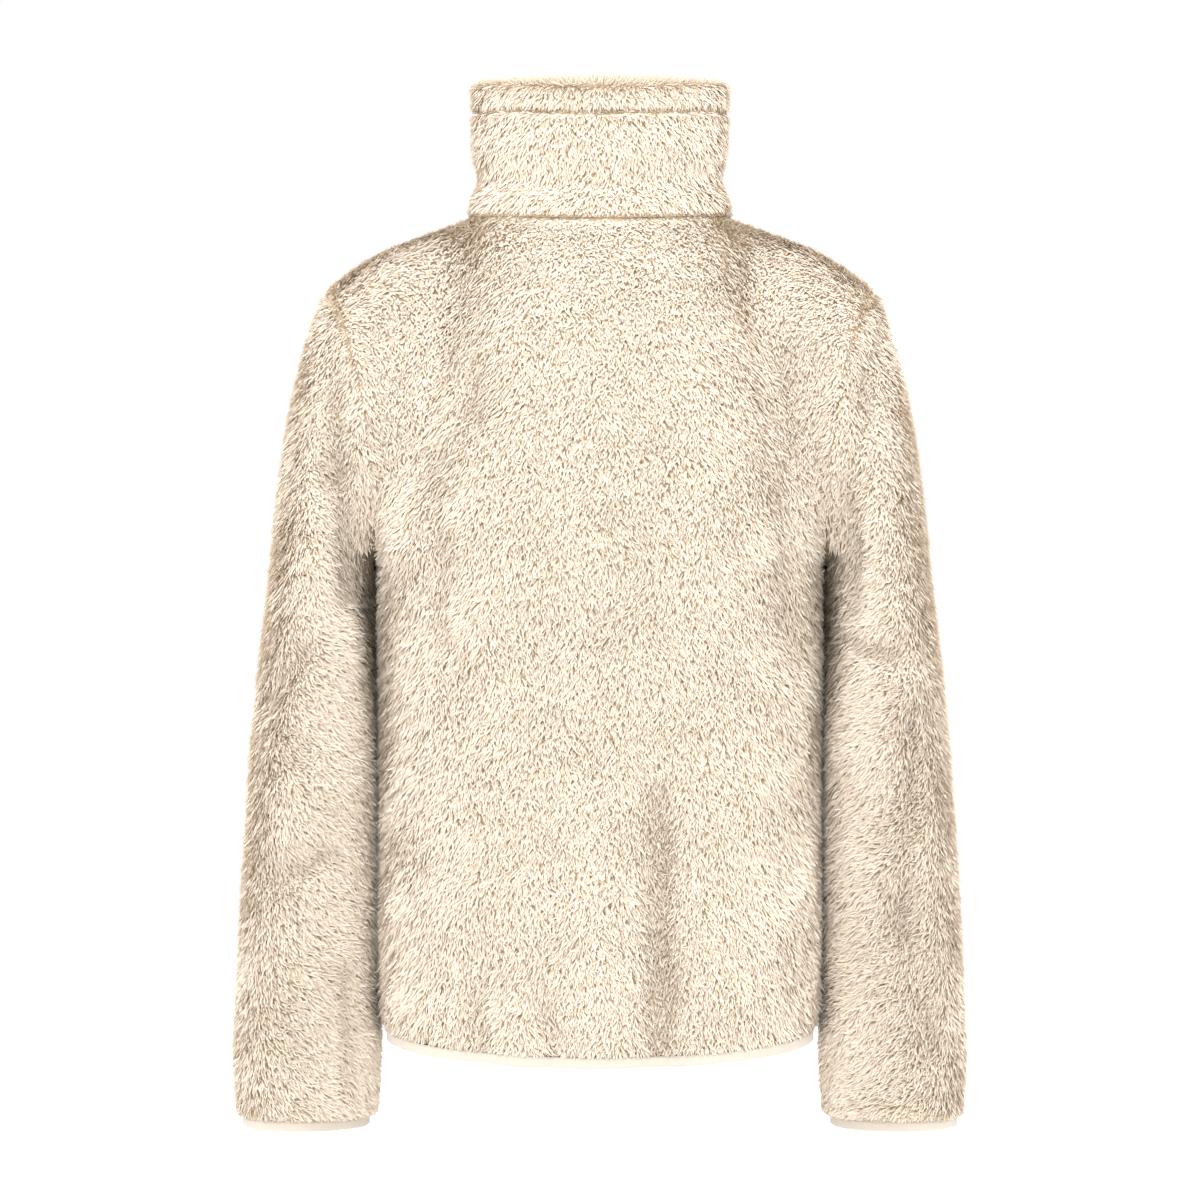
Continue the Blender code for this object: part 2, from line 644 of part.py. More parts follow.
def add_zip(panels, neck, collection, helpers):
    tape_finish = material("zip_tape", TAPE_CREAM, 0.85)
    for side, name in ((LEFT, "zip_tape_left"), (RIGHT, "zip_tape_right")):
        points, out = tape_points(panels, neck, side)
        points, out = points[:-1], out[:-1]
        mesh = wall_mesh(name, points, points - TAPE_THICKNESS * out)
        place(name, mesh, collection, tape_finish.copy())
    line, out = middle_line(panels, neck)
    middle = line[-1, 2] - SLIDER_BELOW_TOP
    ends = [
        np.array([np.interp(middle + step, line[:, 2], line[:, k]) for k in range(3)])
        for step in (-SLIDER_LENGTH / 2, SLIDER_LENGTH / 2)
    ]
    centre, up = (ends[0] + ends[1]) / 2, unit(ends[1] - ends[0])
    facing = np.array((0, -up[2], up[1]))
    kept = line[:, 2] < ends[0][2] - 0.002
    last = [centre + step * up for step in (-SLIDER_LENGTH / 2, POST_BOTTOM - SLIDER_CLEARANCE)]
    line = np.concatenate((line[kept], last))
    out = np.concatenate((out[kept], (facing, facing)))
    across = np.array((CHAIN_WIDTH / 2, 0, 0))
    front = np.stack((line - across, line + across), axis=1)
    front += CHAIN_THICKNESS / 2 * out[:, None]
    mesh = wall_mesh("zip_chain", front, front - CHAIN_THICKNESS * out[:, None])
    place("zip_chain", mesh, collection, material("zip_teeth", TOOTH_CREAM, 0.5), False)
    tilt = math.atan2(facing[2], -facing[1])
    frame = Matrix.Translation(centre) @ Matrix.Rotation(-tilt, 4, "X")
    add_slider(frame, collection, helpers)
    add_pull_tab(frame, collection)


def box(name, low, high, frame, collection):
    """A box between two corners, given in the slider's own frame."""
    low, high = np.array(low), np.array(high)
    mesh = bpy.data.meshes.new(name)
    shape = bmesh.new()
    bmesh.ops.create_cube(shape, size=1)
    bmesh.ops.scale(shape, vec=(high - low).tolist(), verts=shape.verts)
    bmesh.ops.translate(shape, vec=((low + high) / 2).tolist(), verts=shape.verts)
    shape.to_mesh(mesh)
    shape.free()
    made = bpy.data.objects.new(name, mesh)
    made.matrix_world = frame
    collection.objects.link(made)
    return made


def add_slider(frame, collection, helpers):
    """Two plates with the chain between them, a post that joins them, and an arch for the pull tab."""
    half, length = SLIDER_WIDTH / 2, SLIDER_LENGTH / 2
    face = CHAIN_THICKNESS / 2 + SLIDER_CLEARANCE
    skin = face + SLIDER_PLATE
    arch_inner = skin + ARCH_CLEARANCE
    arch_outer = arch_inner + ARCH_METAL
    arch_half = ARCH_WIDTH / 2
    bite = 0.0004
    pieces = {
        "back_plate": ((-half, face, -length), (half, skin, length)),
        "post": ((-POST_WIDTH / 2, -face - bite, POST_BOTTOM), (POST_WIDTH / 2, face + bite, POST_TOP)),
        "arch_bar": (
            (-arch_half, -arch_outer, -ARCH_HALF_LENGTH),
            (arch_half, -arch_inner, ARCH_HALF_LENGTH),
        ),
    }
    for name, end in (("upper_foot", 1), ("lower_foot", -1)):
        ends = sorted((end * (ARCH_HALF_LENGTH - ARCH_METAL), end * ARCH_HALF_LENGTH))
        pieces[name] = (
            (-arch_half, -arch_inner - bite, ends[0]),
            (arch_half, -skin + bite, ends[1]),
        )
    slider = box("zip_slider", (-half, -skin, -length), (half, -face, length), frame, collection)
    slider.data.materials.append(material("slider_metal", METAL_GREY, 0.35, 1.0))
    for name, (low, high) in pieces.items():
        piece = box(name, low, high, frame, helpers)
        piece.hide_render = True
        piece.display_type = "WIRE"
        union = slider.modifiers.new(name, "BOOLEAN")
        union.operation = "UNION"
        union.object = piece


def add_pull_tab(frame, collection):
    """A flat tab whose upper bar lies under the slider's arch, with its origin on that bar's axis."""
    outline = (
        (-TAB_WIDTH / 2, TAB_BAR / 2),
        (TAB_WIDTH / 2, TAB_BAR / 2),
        (TAB_WIDTH / 2, -TAB_NECK_LENGTH),
        (TAB_TIP_WIDTH / 2, -TAB_LENGTH + 0.0012),
        (TAB_TIP_WIDTH / 2 - 0.0012, -TAB_LENGTH),
        (-TAB_TIP_WIDTH / 2 + 0.0012, -TAB_LENGTH),
        (-TAB_TIP_WIDTH / 2, -TAB_LENGTH + 0.0012),
        (-TAB_WIDTH / 2, -TAB_NECK_LENGTH),
    )
    hole = (
        (-TAB_HOLE_WIDTH / 2, -TAB_BAR / 2),
        (TAB_HOLE_WIDTH / 2, -TAB_BAR / 2),
        (TAB_HOLE_WIDTH / 2, -TAB_HOLE_LENGTH),
        (-TAB_HOLE_WIDTH / 2, -TAB_HOLE_LENGTH),
    )
    flat = bpy.data.curves.new("pull_tab_outline", "CURVE")
    flat.dimensions = "2D"
    flat.fill_mode = "BOTH"
    flat.extrude = TAB_THICKNESS / 2
    for corners in (outline, hole):
        spline = flat.splines.new("POLY")
        spline.points.add(len(corners) - 1)
        spline.use_cyclic_u = True
        for point, (x, y) in zip(spline.points, corners):
            point.co = (x, y, 0, 1)
    guide = bpy.data.objects.new("pull_tab_guide", flat)
    collection.objects.link(guide)
    graph = bpy.context.evaluated_depsgraph_get()
    mesh = bpy.data.meshes.new_from_object(guide.evaluated_get(graph))
    bpy.data.objects.remove(guide)
    shape = bmesh.new()
    shape.from_mesh(mesh)
    bmesh.ops.remove_doubles(shape, verts=shape.verts, dist=0.00001)
    bmesh.ops.rotate(shape, verts=shape.verts, matrix=Matrix.Rotation(math.pi / 2, 3, "X"))
    bmesh.ops.recalc_face_normals(shape, faces=shape.faces)
    shape.to_mesh(mesh)
    shape.free()
    tab = place("zip_pull_tab", mesh, collection, material("pull_tab_metal", METAL_GREY, 0.35, 1.0), False)
    skin = CHAIN_THICKNESS / 2 + SLIDER_CLEARANCE + SLIDER_PLATE
    tab.matrix_world = frame @ Matrix.Translation((0, -skin - ARCH_CLEARANCE / 2, 0))


def main():
    for old in list(bpy.data.objects):
        bpy.data.objects.remove(old)
    collection = bpy.data.collections.new(COLLECTION)
    helpers = bpy.data.collections.new("union_pieces")
    for made in (collection, helpers):
        bpy.context.scene.collection.children.link(made)
    panels = body_panels()
    sleeves = {side: sleeve(side) for side in (LEFT, RIGHT)}
    neck = collar()
    close_seams(panels, sleeves, neck)
    add_cloth(panels, sleeves, neck, collection)
    add_bindings(panels, sleeves, collection)
    add_zip(panels, neck, collection, helpers)


main()
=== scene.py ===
"""The looks of a high-collared fleece jacket, filled out as it is worn, with no wearer in it.

Units are metres. +X is the wearer's left, -Y the front and +Z up, and the origin is in the
middle of the neck. The cloth repeats the solids' own curves on finer grids: each piece is a
thin knitted shell with creases, and its pile is laid on it lock by lock.
"""

import math

import bpy
import numpy as np
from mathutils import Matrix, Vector


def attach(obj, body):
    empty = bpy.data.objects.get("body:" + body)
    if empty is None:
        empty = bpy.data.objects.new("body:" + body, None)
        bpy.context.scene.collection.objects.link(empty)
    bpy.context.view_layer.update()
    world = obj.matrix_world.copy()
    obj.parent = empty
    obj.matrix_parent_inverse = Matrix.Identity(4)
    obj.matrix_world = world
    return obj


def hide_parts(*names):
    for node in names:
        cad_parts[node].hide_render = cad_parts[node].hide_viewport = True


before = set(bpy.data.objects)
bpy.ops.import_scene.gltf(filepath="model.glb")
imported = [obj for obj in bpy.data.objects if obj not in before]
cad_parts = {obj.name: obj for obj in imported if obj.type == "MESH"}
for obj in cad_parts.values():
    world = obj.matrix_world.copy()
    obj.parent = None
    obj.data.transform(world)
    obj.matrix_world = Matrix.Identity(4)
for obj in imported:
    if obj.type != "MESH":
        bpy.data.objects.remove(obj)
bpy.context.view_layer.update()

bl_info = {
    "name": "Fleece jacket",
    "version": (1, 0, 0),
    "blender": (4, 5, 0),
    "location": "3D View > Sidebar > Jacket",
    "description": "Builds the cloth, pile, bindings and zip of a fleece jacket round its solids",
    "category": "Object",
}

LEFT, RIGHT = 1, -1
ENDS = {LEFT: "left", RIGHT: "right"}
BACK, FRONT = 1, -1
SEED = 20

# The solids' own sizes
WALL, COLLAR_WALL, SEAM_GAP = 0.009, 0.011, 0.0003
UNDERARM, HEM, HEM_DIP, SECTION_POWER = -0.262, -0.609, 0.008, 2.3
BODY_SECTIONS = (
    # height, half width, depth behind the middle, depth in front of it
    (-0.640, 0.1590, 0.136, 0.138),
    (-0.560, 0.1650, 0.132, 0.136),
    (-0.470, 0.1657, 0.127, 0.134),
    (-0.380, 0.1660, 0.125, 0.134),
    (-0.300, 0.1668, 0.129, 0.137),
    (-0.262, 0.1672, 0.132, 0.138),
)
NECK_POINT = np.array((0.0998, -0.004, 0.000))
SHOULDER_POINT = np.array((0.2080, -0.004, -0.055))
SHOULDER_RISE, SHOULDER_WAVE = 0.0078, 0.0015
ARMHOLE_X = BODY_SECTIONS[-1][1]
ARMHOLE_DEPTH = {BACK: 0.074, FRONT: 0.068}
ARMHOLE_TURN, ARMHOLE_REACH = 3.2, 4
ARMHOLE_LEAN, ARMHOLE_LEAN_TOP = 0.08, 0.45
LEAVE_OUT, LEAVE_UP, LEAVE_UP_SIDE = 0.012, 0.230, 0.210
REACH_NECK_IN, REACH_NECK_UP = 0.150, 0.185
REACH_SHOULDER_IN, REACH_SHOULDER_UP = 0.160, 0.020
NECK_BACK, NECK_FRONT, NECK_POWER = 0.070, 0.080, 2.1
NECK_DIP = {BACK: 0.006, FRONT: 0.052}
COLLAR_FULL = 0.018
COLLAR_SECTIONS = (
    # height above the seam, how far the outside stands off the seam's line
    (0.0000, 0.0000),
    (0.0090, -0.0010),
    (0.0180, -0.0036),
    (0.0260, -0.0070),
    (0.0340, -0.0060),
    (0.0440, -0.0034),
    (0.0580, -0.0026),
    (0.0700, -0.0028),
    (0.0760, -0.0026),
    (0.0790, -0.0048),
    (0.0820, -0.0026),
    (0.0900, -0.0024),
    (0.0965, -0.0032),
    (0.1005, -0.0060),
)
SLEEVE_LEVEL, CUFF, SLEEVE_POWER = -0.345, -0.6775, 2.15
SLEEVE_SECTIONS = (
    # height, outer edge, inner edge, depth from the middle to the back, how far back the middle lies
    (-0.345, 0.2582, 0.1686, 0.0840, -0.004),
    (-0.400, 0.2632, 0.1678, 0.0800, -0.006),
    (-0.460, 0.2680, 0.1674, 0.0740, -0.010),
    (-0.520, 0.2722, 0.1671, 0.0680, -0.015),
    (-0.580, 0.2752, 0.1666, 0.0625, -0.021),
    (-0.640, 0.2784, 0.1664, 0.0580, -0.027),
    (-0.6775, 0.2762, 0.1688, 0.0540, -0.031),
)
CAP_OUT, CAP_OUT_SIDES, CAP_BACK = 0.101, 0.070, 0.030
CAP_DOWN, CAP_DOWN_UNDERARM = 0.260, 0.100
LEVEL_OUT, LEVEL_DOWN, LEVEL_DOWN_UNDERARM = 0.047, 0.300, 0.090
FOLD_FACING = 0.45
SIDE_HOLD, TOP_HOLD, ARMHOLE_HOLD_ROWS = 8, 12, 0.8
ROWS_BELOW, ROWS_ARMHOLE = 14, 12
SHOULDER_FACES, NECK_FACES = 5, 8
HALF_FACES = SHOULDER_FACES + NECK_FACES
UPPER_SLEEVE_ROWS, LOWER_SLEEVE_ROWS = 9, 15
BINDING_HEIGHT, CUFF_DRAW_IN = 0.0082, 0.0037
PUCKERS = ((0.00012, 0.0085), (0.00010, 0.021))
ZIP_OPENING, ZIP_STIFFNESS = 0.010, 0.8
TAPE_INNER, TAPE_OUTER, TAPE_THICKNESS = 0.0031, 0.0180, 0.0008
TAPE_SECTION = (
    # distance from the zip's middle line, height of the bead
    (TAPE_INNER, 0.0),
    (0.0036, 0.00022),
    (0.0044, 0.00022),
    (0.0050, 0.0),
    (0.0065, 0.0),
    (0.0120, 0.0),
    (TAPE_OUTER, 0.0),
)
CHAIN_THICKNESS = 0.0028
SLIDER_LENGTH, SLIDER_PLATE = 0.0130, 0.0014
SLIDER_BELOW_TOP, SLIDER_CLEARANCE = 0.0160, 0.0003
ARCH_WIDTH, ARCH_HALF_LENGTH, ARCH_METAL, ARCH_CLEARANCE, ARCH_FOOT = 0.0016, 0.0047, 0.0013, 0.0026, 0.0004
TAB_WIDTH, TAB_LENGTH, TAB_THICKNESS = 0.0060, 0.0270, 0.0012
TAB_BAR, TAB_HOLE_WIDTH, TAB_HOLE_LENGTH = 0.0014, 0.0026, 0.0060
TAB_NECK_LENGTH, TAB_TIP_WIDTH = 0.0095, 0.0050
FIRST_TOOTH, TOOTH_PITCH, TEETH_IN_SLIDER = 0.0016, 0.0030, 0.0012
SHARP_ANGLE = math.radians(35)

# The largest folds, which the solids have too, and the creases that only the cloth has. Each is
# seen from behind or from in front, and runs along a line of x, z points.
BODY_FOLDS = (
    # facing, width, depth, the points
    (BACK, 0.017, 0.0075, ((-0.040, -0.430), (-0.047, -0.640))),
    (BACK, 0.022, -0.0035, ((0.004, -0.450), (0.000, -0.610))),
    (BACK, 0.015, 0.0045, ((0.088, -0.560), (0.094, -0.640))),
    (BACK, 0.012, 0.0035, ((0.037, -0.580), (0.037, -0.640))),
    (BACK, 0.024, 0.0036, ((0.098, -0.045), (0.090, -0.140))),
    (BACK, 0.020, 0.0030, ((0.090, -0.140), (0.126, -0.190))),
    (BACK, 0.020, 0.0036, ((0.126, -0.190), (0.113, -0.330))),
    (BACK, 0.020, 0.0050, ((-0.138, -0.110), (-0.141, -0.330))),
    (BACK, 0.030, 0.0025, ((-0.030, -0.125), (-0.030, -0.290))),
    (BACK, 0.030, -0.0030, ((-0.105, -0.380), (-0.120, -0.560))),
    (FRONT, 0.018, 0.0060, ((0.075, -0.440), (0.082, -0.640))),
    (FRONT, 0.018, 0.0065, ((-0.066, -0.460), (-0.070, -0.640))),
    (FRONT, 0.020, 0.0050, ((0.120, -0.120), (0.118, -0.290))),
    (FRONT, 0.022, 0.0050, ((-0.122, -0.130), (-0.116, -0.300))),
)
SLEEVE_FOLDS = (
    # facing, width, depth, the points
    (BACK, 0.016, 0.0075, ((0.196, -0.115), (0.192, -0.195))),
    (BACK, 0.016, 0.0070, ((0.192, -0.195), (0.178, -0.285))),
    (BACK, 0.014, 0.0050, ((0.222, -0.330), (0.252, -0.362))),
    (BACK, 0.014, 0.0045, ((0.205, -0.480), (0.245, -0.492))),
    (BACK, 0.012, 0.0045, ((0.187, -0.570), (0.186, -0.660))),
    (BACK, 0.016, 0.0060, ((-0.203, -0.095), (-0.195, -0.150))),
    (BACK, 0.016, 0.0060, ((-0.182, -0.200), (-0.182, -0.290))),
    (BACK, 0.014, 0.0050, ((-0.178, -0.318), (-0.215, -0.330))),
    (BACK, 0.016, 0.0045, ((-0.236, -0.380), (-0.226, -0.520))),
    (BACK, 0.016, 0.0045, ((-0.226, -0.520), (-0.250, -0.620))),
    (FRONT, 0.015, 0.0050, ((0.190, -0.330), (0.235, -0.350))),
    (FRONT, 0.014, 0.0045, ((0.186, -0.400), (0.232, -0.412))),
    (FRONT, 0.015, 0.0050, ((-0.192, -0.345), (-0.238, -0.360))),
    (FRONT, 0.014, 0.0045, ((-0.188, -0.430), (-0.230, -0.440))),
)
BODY_CREASES = (
    # facing, width, depth, the points
    (BACK, 0.0050, 0.0030, ((0.040, -0.0165), (0.018, -0.0200), (-0.008, -0.0190), (-0.032, -0.0150))),
    (BACK, 0.0070, 0.0030, ((-0.034, -0.500), (-0.040, -0.560), (-0.037, -0.625))),
    (BACK, 0.0070, 0.0026, ((-0.052, -0.450), (-0.048, -0.520), (-0.054, -0.580))),
    (BACK, 0.0070, 0.0024, ((0.090, -0.575), (0.084, -0.600), (0.088, -0.630))),
    (BACK, 0.0060, 0.0022, ((0.040, -0.585), (0.034, -0.610), (0.037, -0.632))),
    (BACK, 0.0080, 0.0022, ((0.096, -0.060), (0.088, -0.110), (0.098, -0.150))),
    (BACK, 0.0075, 0.0024, ((0.122, -0.180), (0.129, -0.215), (0.117, -0.262), (0.112, -0.320))),
    (BACK, 0.0075, 0.0024, ((-0.130, -0.090), (-0.143, -0.160), (-0.137, -0.235), (-0.143, -0.320))),
    (BACK, 0.0090, -0.0018, ((0.060, -0.100), (0.052, -0.180), (0.068, -0.260))),
    (BACK, 0.0090, -0.0018, ((-0.070, -0.130), (-0.084, -0.230), (-0.078, -0.330))),
    (BACK, 0.0100, 0.0018, ((-0.004, -0.300), (0.008, -0.380), (-0.002, -0.440))),
    (FRONT, 0.0080, 0.0026, ((0.072, -0.470), (0.080, -0.540), (0.076, -0.620))),
    (FRONT, 0.0080, 0.0028, ((-0.064, -0.490), (-0.072, -0.560), (-0.066, -0.625))),
    (FRONT, 0.0080, 0.0024, ((0.116, -0.110), (0.126, -0.180), (0.116, -0.270))),
    (FRONT, 0.0080, 0.0024, ((-0.118, -0.120), (-0.127, -0.200), (-0.117, -0.290))),
    (FRONT, 0.0090, -0.0020, ((0.050, -0.200), (0.056, -0.300), (0.046, -0.380))),
    (FRONT, 0.0090, -0.0020, ((-0.054, -0.180), (-0.046, -0.290), (-0.056, -0.360))),
)
SLEEVE_CREASES = (
    # facing, width, depth, the points
    (BACK, 0.0070, 0.0035, ((0.193, -0.120), (0.194, -0.180), (0.180, -0.255), (0.172, -0.300))),
    (BACK, 0.0065, 0.0025, ((0.215, -0.322), (0.236, -0.340), (0.252, -0.366))),
    (BACK, 0.0065, 0.0025, ((0.200, -0.476), (0.222, -0.488), (0.244, -0.488))),
    (BACK, 0.0070, 0.0020, ((0.215, -0.400), (0.232, -0.412), (0.250, -0.416))),
    (BACK, 0.0060, 0.0022, ((0.190, -0.560), (0.188, -0.610), (0.192, -0.655))),
    (BACK, 0.0070, 0.0030, ((-0.204, -0.100), (-0.199, -0.140), (-0.187, -0.185))),
    (BACK, 0.0070, 0.0028, ((-0.180, -0.200), (-0.186, -0.250), (-0.178, -0.300))),
    (BACK, 0.0065, 0.0025, ((-0.176, -0.315), (-0.198, -0.328), (-0.222, -0.328))),
    (BACK, 0.0075, 0.0022, ((-0.232, -0.380), (-0.240, -0.440), (-0.228, -0.505))),
    (BACK, 0.0075, 0.0022, ((-0.228, -0.530), (-0.244, -0.580), (-0.250, -0.630))),
    (FRONT, 0.0070, 0.0026, ((0.186, -0.326), (0.212, -0.344), (0.240, -0.348))),
    (FRONT, 0.0070, 0.0022, ((0.184, -0.402), (0.206, -0.410), (0.236, -0.406))),
    (FRONT, 0.0070, 0.0026, ((-0.188, -0.342), (-0.214, -0.357), (-0.242, -0.356))),
    (FRONT, 0.0070, 0.0022, ((-0.186, -0.432), (-0.208, -0.440), (-0.234, -0.434))),
)

# The cloth under the pile
CLOTH_FINENESS, PILE_FINENESS = 2, 4
PILE_DEPTH = 0.0044
LIES_FLAT = 0.45
SEAM_DIP, SEAM_DIP_REACH = 0.0010, 0.0045
COLLAR_ARC_FACES, COLLAR_ROUND_FROM = 6, 0.0950
FACING_RISE, FACING_EASE, FACING_FADE = 0.0790, 0.004, 0.006
# How many times as far from a seam the pile takes itself to be, where the seam parts it less
SHOULDER_SEAM_SLIGHTNESS, NECK_SEAM_SLIGHTNESS = 1.6, 1.9
ARMHOLE_SEAM_SLIGHTNESS, STITCHES_SLIGHTNESS = 3.0, 4.0
# Round the collar the comb sways by a sine that runs from minus this angle to plus it
COLLAR_COMB, COLLAR_SWAY = 0.25, 9
# Beside the crevice a positive shaded is painted shadow, and a negative one is painted light
FRONT_EDGE = {"shaded": -0.2, "fuller": 0.9}
SLEEVE_EDGE = {"shaded": 0.95, "fuller": 0.3}
COLLAR_EDGE = {"lighter": 0.08, "crown": 0.0075}
# Between the sleeves and the body the pile stands up, with painted shadow on the sleeves' side and painted light on
# the fronts' side
CREVICE_X, CREVICE_WIDTH, CREVICE_TOP = 0.1667, 0.0060, -0.252
CREVICE_DARK_END, CREVICE_DARK_AGAIN = -0.44, -0.585
CREVICE_FADE, CREVICE_DARK_FADE = 0.012, 0.12
CREVICE_DARK_LOW, CREVICE_DARK_LOW_REACH = 0.6, 0.03
SHADOW_WIDTH, SHADOW_WIDENS = 0.003, 0.007
CREVICE_LENGTHENS, CREVICE_TURNS = 0.9, 0.25

# Below the neck points the pile's surface is evened out, in as many rounds
CORNER_ROUNDS, EVENED_SHARE = 40, 0.5
CORNER_OUT, CORNER_WIDTH, CORNER_DOWN, CORNER_FADE = 0.006, 0.022, 0.15, 0.012
# The comb turns outwards from the middle of the body, more so on the shoulders
COMB_HALF_WIDTH, COMB_OUT, COMB_OUT_LOW, COMB_SHOULDERS = 0.16, 0.16, 0.4, 0.8
SHOULDERS_REACH, SHOULDERS_FROM = 0.12, 0.4
SLEEVE_COMB, SLEEVE_COMB_LOWER, SLEEVE_COMB_REACH = 0.55, 0.45, 0.3

# Single locks. Spreads are standard deviations, as shares of the mean or as tones.
WAVES = {"swirl": 0.055, "clump": 0.009, "patch": 0.050, "lift": 0.014}
LENGTH_SPREAD, WIDTH_SPREAD, RISE_SPREAD, TONE_SPREAD = 0.22, 0.2, 0.20, 0.08
LENGTH_LIMITS, WIDTH_LIMITS = (0.5, 1.6), (0.6, 1.5)
# Roots lie in their cells at multiples of two irrational steps, and stray by shares of a cell
FIRST_STEP, SECOND_STEP, STRAY = 0.7548776662, 0.5698402910, 0.06
PAST_END, RISE_LIMITS = (0.0002, 0.0020), (0.0016, 0.0068)
EDGE_REACH, EDGE_COMB, SEAM_LESSENS, LIFT_WAVES, STEEPEST = 0.012, 0.12, 0.35, 0.22, 0.85
CROWN_HALF_WIDTH, CROWN_FROM, CROWN_FADE = 0.085, 0.085, 0.008
# A lock's two shoulders: how far along it they are, and how high they lie
SHOULDER_ALONG, SHOULDER_UP, SHOULDER_SAG = 0.42, 0.62, 0.32
# Tones: the shades of folds and seams are painted shade; ridges, cloth that faces sideways or up, and the paler roots
# there are painted light
TONE, PATCH_TONES, SEAM_SHADE = 0.83, 0.04, 0.08
TROUGH_SHADE, TROUGH_DEPTH, RIDGE_MOST = 0.22, 0.008, -0.6
PAINTED_LIGHT_TONE_ASIDE, PAINTED_LIGHT_TONE_UP, PAINTED_LIGHT_ROOTS_ASIDE, PAINTED_LIGHT_ROOTS = 0.15, 0.15, 0.8, 0.45
# Where the root, a shoulder, the tip and the other shoulder lie up the map
MAP_RISES = (0.02, 0.45, 0.98, 0.45)

# The map that carries the pile's colour. Across it lie bands, one for each tone that a lock can
# have, and each band is a lock from its left edge to its right. Up it goes from root to tip.
PILE_MAP = "OFBake"
PILE_TONES, BAND_MARGIN = 24, 0.12

# How each cloth piece was cut
CUTS = {
    # width, length and area of the cut, how it is held, what it hangs from or lies on, its pile
    "cloth_back": (0.49, 0.63, 0.275, "hung", ["cloth_collar"], ["pile_back_left", "pile_back_right"]),
    "cloth_front_left": (0.25, 0.61, 0.133, "hung", ["cloth_collar"], ["pile_front_left"]),
    "cloth_front_right": (0.25, 0.61, 0.133, "hung", ["cloth_collar"], ["pile_front_right"]),
    "cloth_sleeve_left": (0.40, 0.63, 0.188, "hung", ["cloth_back"], ["pile_sleeve_left"]),
    "cloth_sleeve_right": (0.40, 0.63, 0.188, "hung", ["cloth_back"], ["pile_sleeve_right"]),
    "cloth_collar": (0.55, 0.105, 0.054, "folded", ["cloth_back"], ["pile_collar"]),
    "hem_strip": (0.0190, 0.965, None, "folded", ["cloth_back"], []),
    "cuff_strip_left": (0.0190, 0.300, None, "folded", ["cloth_sleeve_left"], []),
    "cuff_strip_right": (0.0190, 0.300, None, "folded", ["cloth_sleeve_right"], []),
    "zip_tape_left_woven": (0.0149, 0.705, None, "laid", ["cloth_front_left"], []),
    "zip_tape_right_woven": (0.0149, 0.705, None, "laid", ["cloth_front_right"], []),
}


# The shape of the cloth, in the solids' own formulas


def signed_power(values, power):
    """The power of each number's size, with the number's own sign."""
    return np.sign(values) * np.abs(values) ** power


def clipped(values):
    """The values, raised to 0 where they are below it and lowered to 1 where they are above it."""
    return np.clip(values, 0, 1)


def bell(distance, width):
    """A bell curve of the distance, which is 1 at none and 1 / e at the width."""
    return np.exp(-((distance / width) ** 2))


def hermite(start, leaving, end, arriving, part):
    """The cubic curve between two points that leaves and arrives with the given speeds."""
    return (
        (2 * part**3 - 3 * part**2 + 1) * start
        + (part**3 - 2 * part**2 + part) * leaving
        + (3 * part**2 - 2 * part**3) * end
        + (part**3 - part**2) * arriving
    )


def along(table, heights):
    """The table's columns at each height, on smooth curves through its rows."""
    rows = np.array(sorted(table))
    knots = rows[:, 0]
    slopes = np.gradient(rows[:, 1:], knots, axis=0)
    heights = np.clip(heights, knots[0], knots[-1])
    low = np.clip(np.searchsorted(knots, heights, side="right") - 1, 0, len(knots) - 2)
    span = (knots[low + 1] - knots[low])[..., None]
    part = (heights - knots[low])[..., None] / span
    starts, ends = rows[low, 1:], rows[low + 1, 1:]
    columns = hermite(starts, span * slopes[low], ends, span * slopes[low + 1], part)
    return np.moveaxis(columns, -1, 0)


def unit(vectors):
    """The vectors divided by their lengths."""
    return vectors / np.maximum(np.linalg.norm(vectors, axis=-1, keepdims=True), 1e-12)


def stacked(x, y, z):
    """Points from three arrays of coordinates that stretch to one shape."""
    return np.stack(np.broadcast_arrays(x, y, z), axis=-1).astype(float)


def normals_of(points, around):
    """Directions out of a grid of points: the cross product of its two differences."""
    if around:
        across = np.roll(points, -1, axis=1) - np.roll(points, 1, axis=1)
    else:
        across = np.gradient(points, axis=1)
    return unit(np.cross(across, np.gradient(points, axis=0)))


def facing_out(normals, points, middle):
    """The normals, all turned round if they point at the middle."""
    return normals * np.sign(np.sum(normals * (points - middle)))


def fold_depths(points, normals, folds):
    """How deep the folds are at each point: their depth times a bell curve of the distance to their line."""
    depths = np.zeros(points.shape[:2])
    for facing, width, depth, line in folds:
        away = np.full(points.shape[:2], np.inf)
        for start, end in zip(line[:-1], line[1:]):
            run = np.subtract(end, start)
            offset = points[..., (0, 2)] - np.array(start)
            part = clipped(offset @ run / (run @ run))
            away = np.minimum(away, np.linalg.norm(offset - part[..., None] * run, axis=-1))
        seen = clipped(facing * normals[..., 1] / FOLD_FACING)
        depths += depth * seen * bell(away, width)
    return depths


def body_ring(angle, height):
    """The body's outside at an angle from the middle of the back: a superellipse in each half."""
    half, behind, before = along(BODY_SECTIONS, height)
    depth = np.where(np.cos(angle) > 0, behind, before)
    dip = HEM_DIP * clipped(np.cos(angle)) ** 2
    dip = dip * clipped((UNDERARM - height) / (UNDERARM - HEM)) ** 3
    return stacked(
        half * signed_power(np.sin(angle), 2 / SECTION_POWER),
        depth * signed_power(np.cos(angle), 2 / SECTION_POWER),
        height - dip,
    )


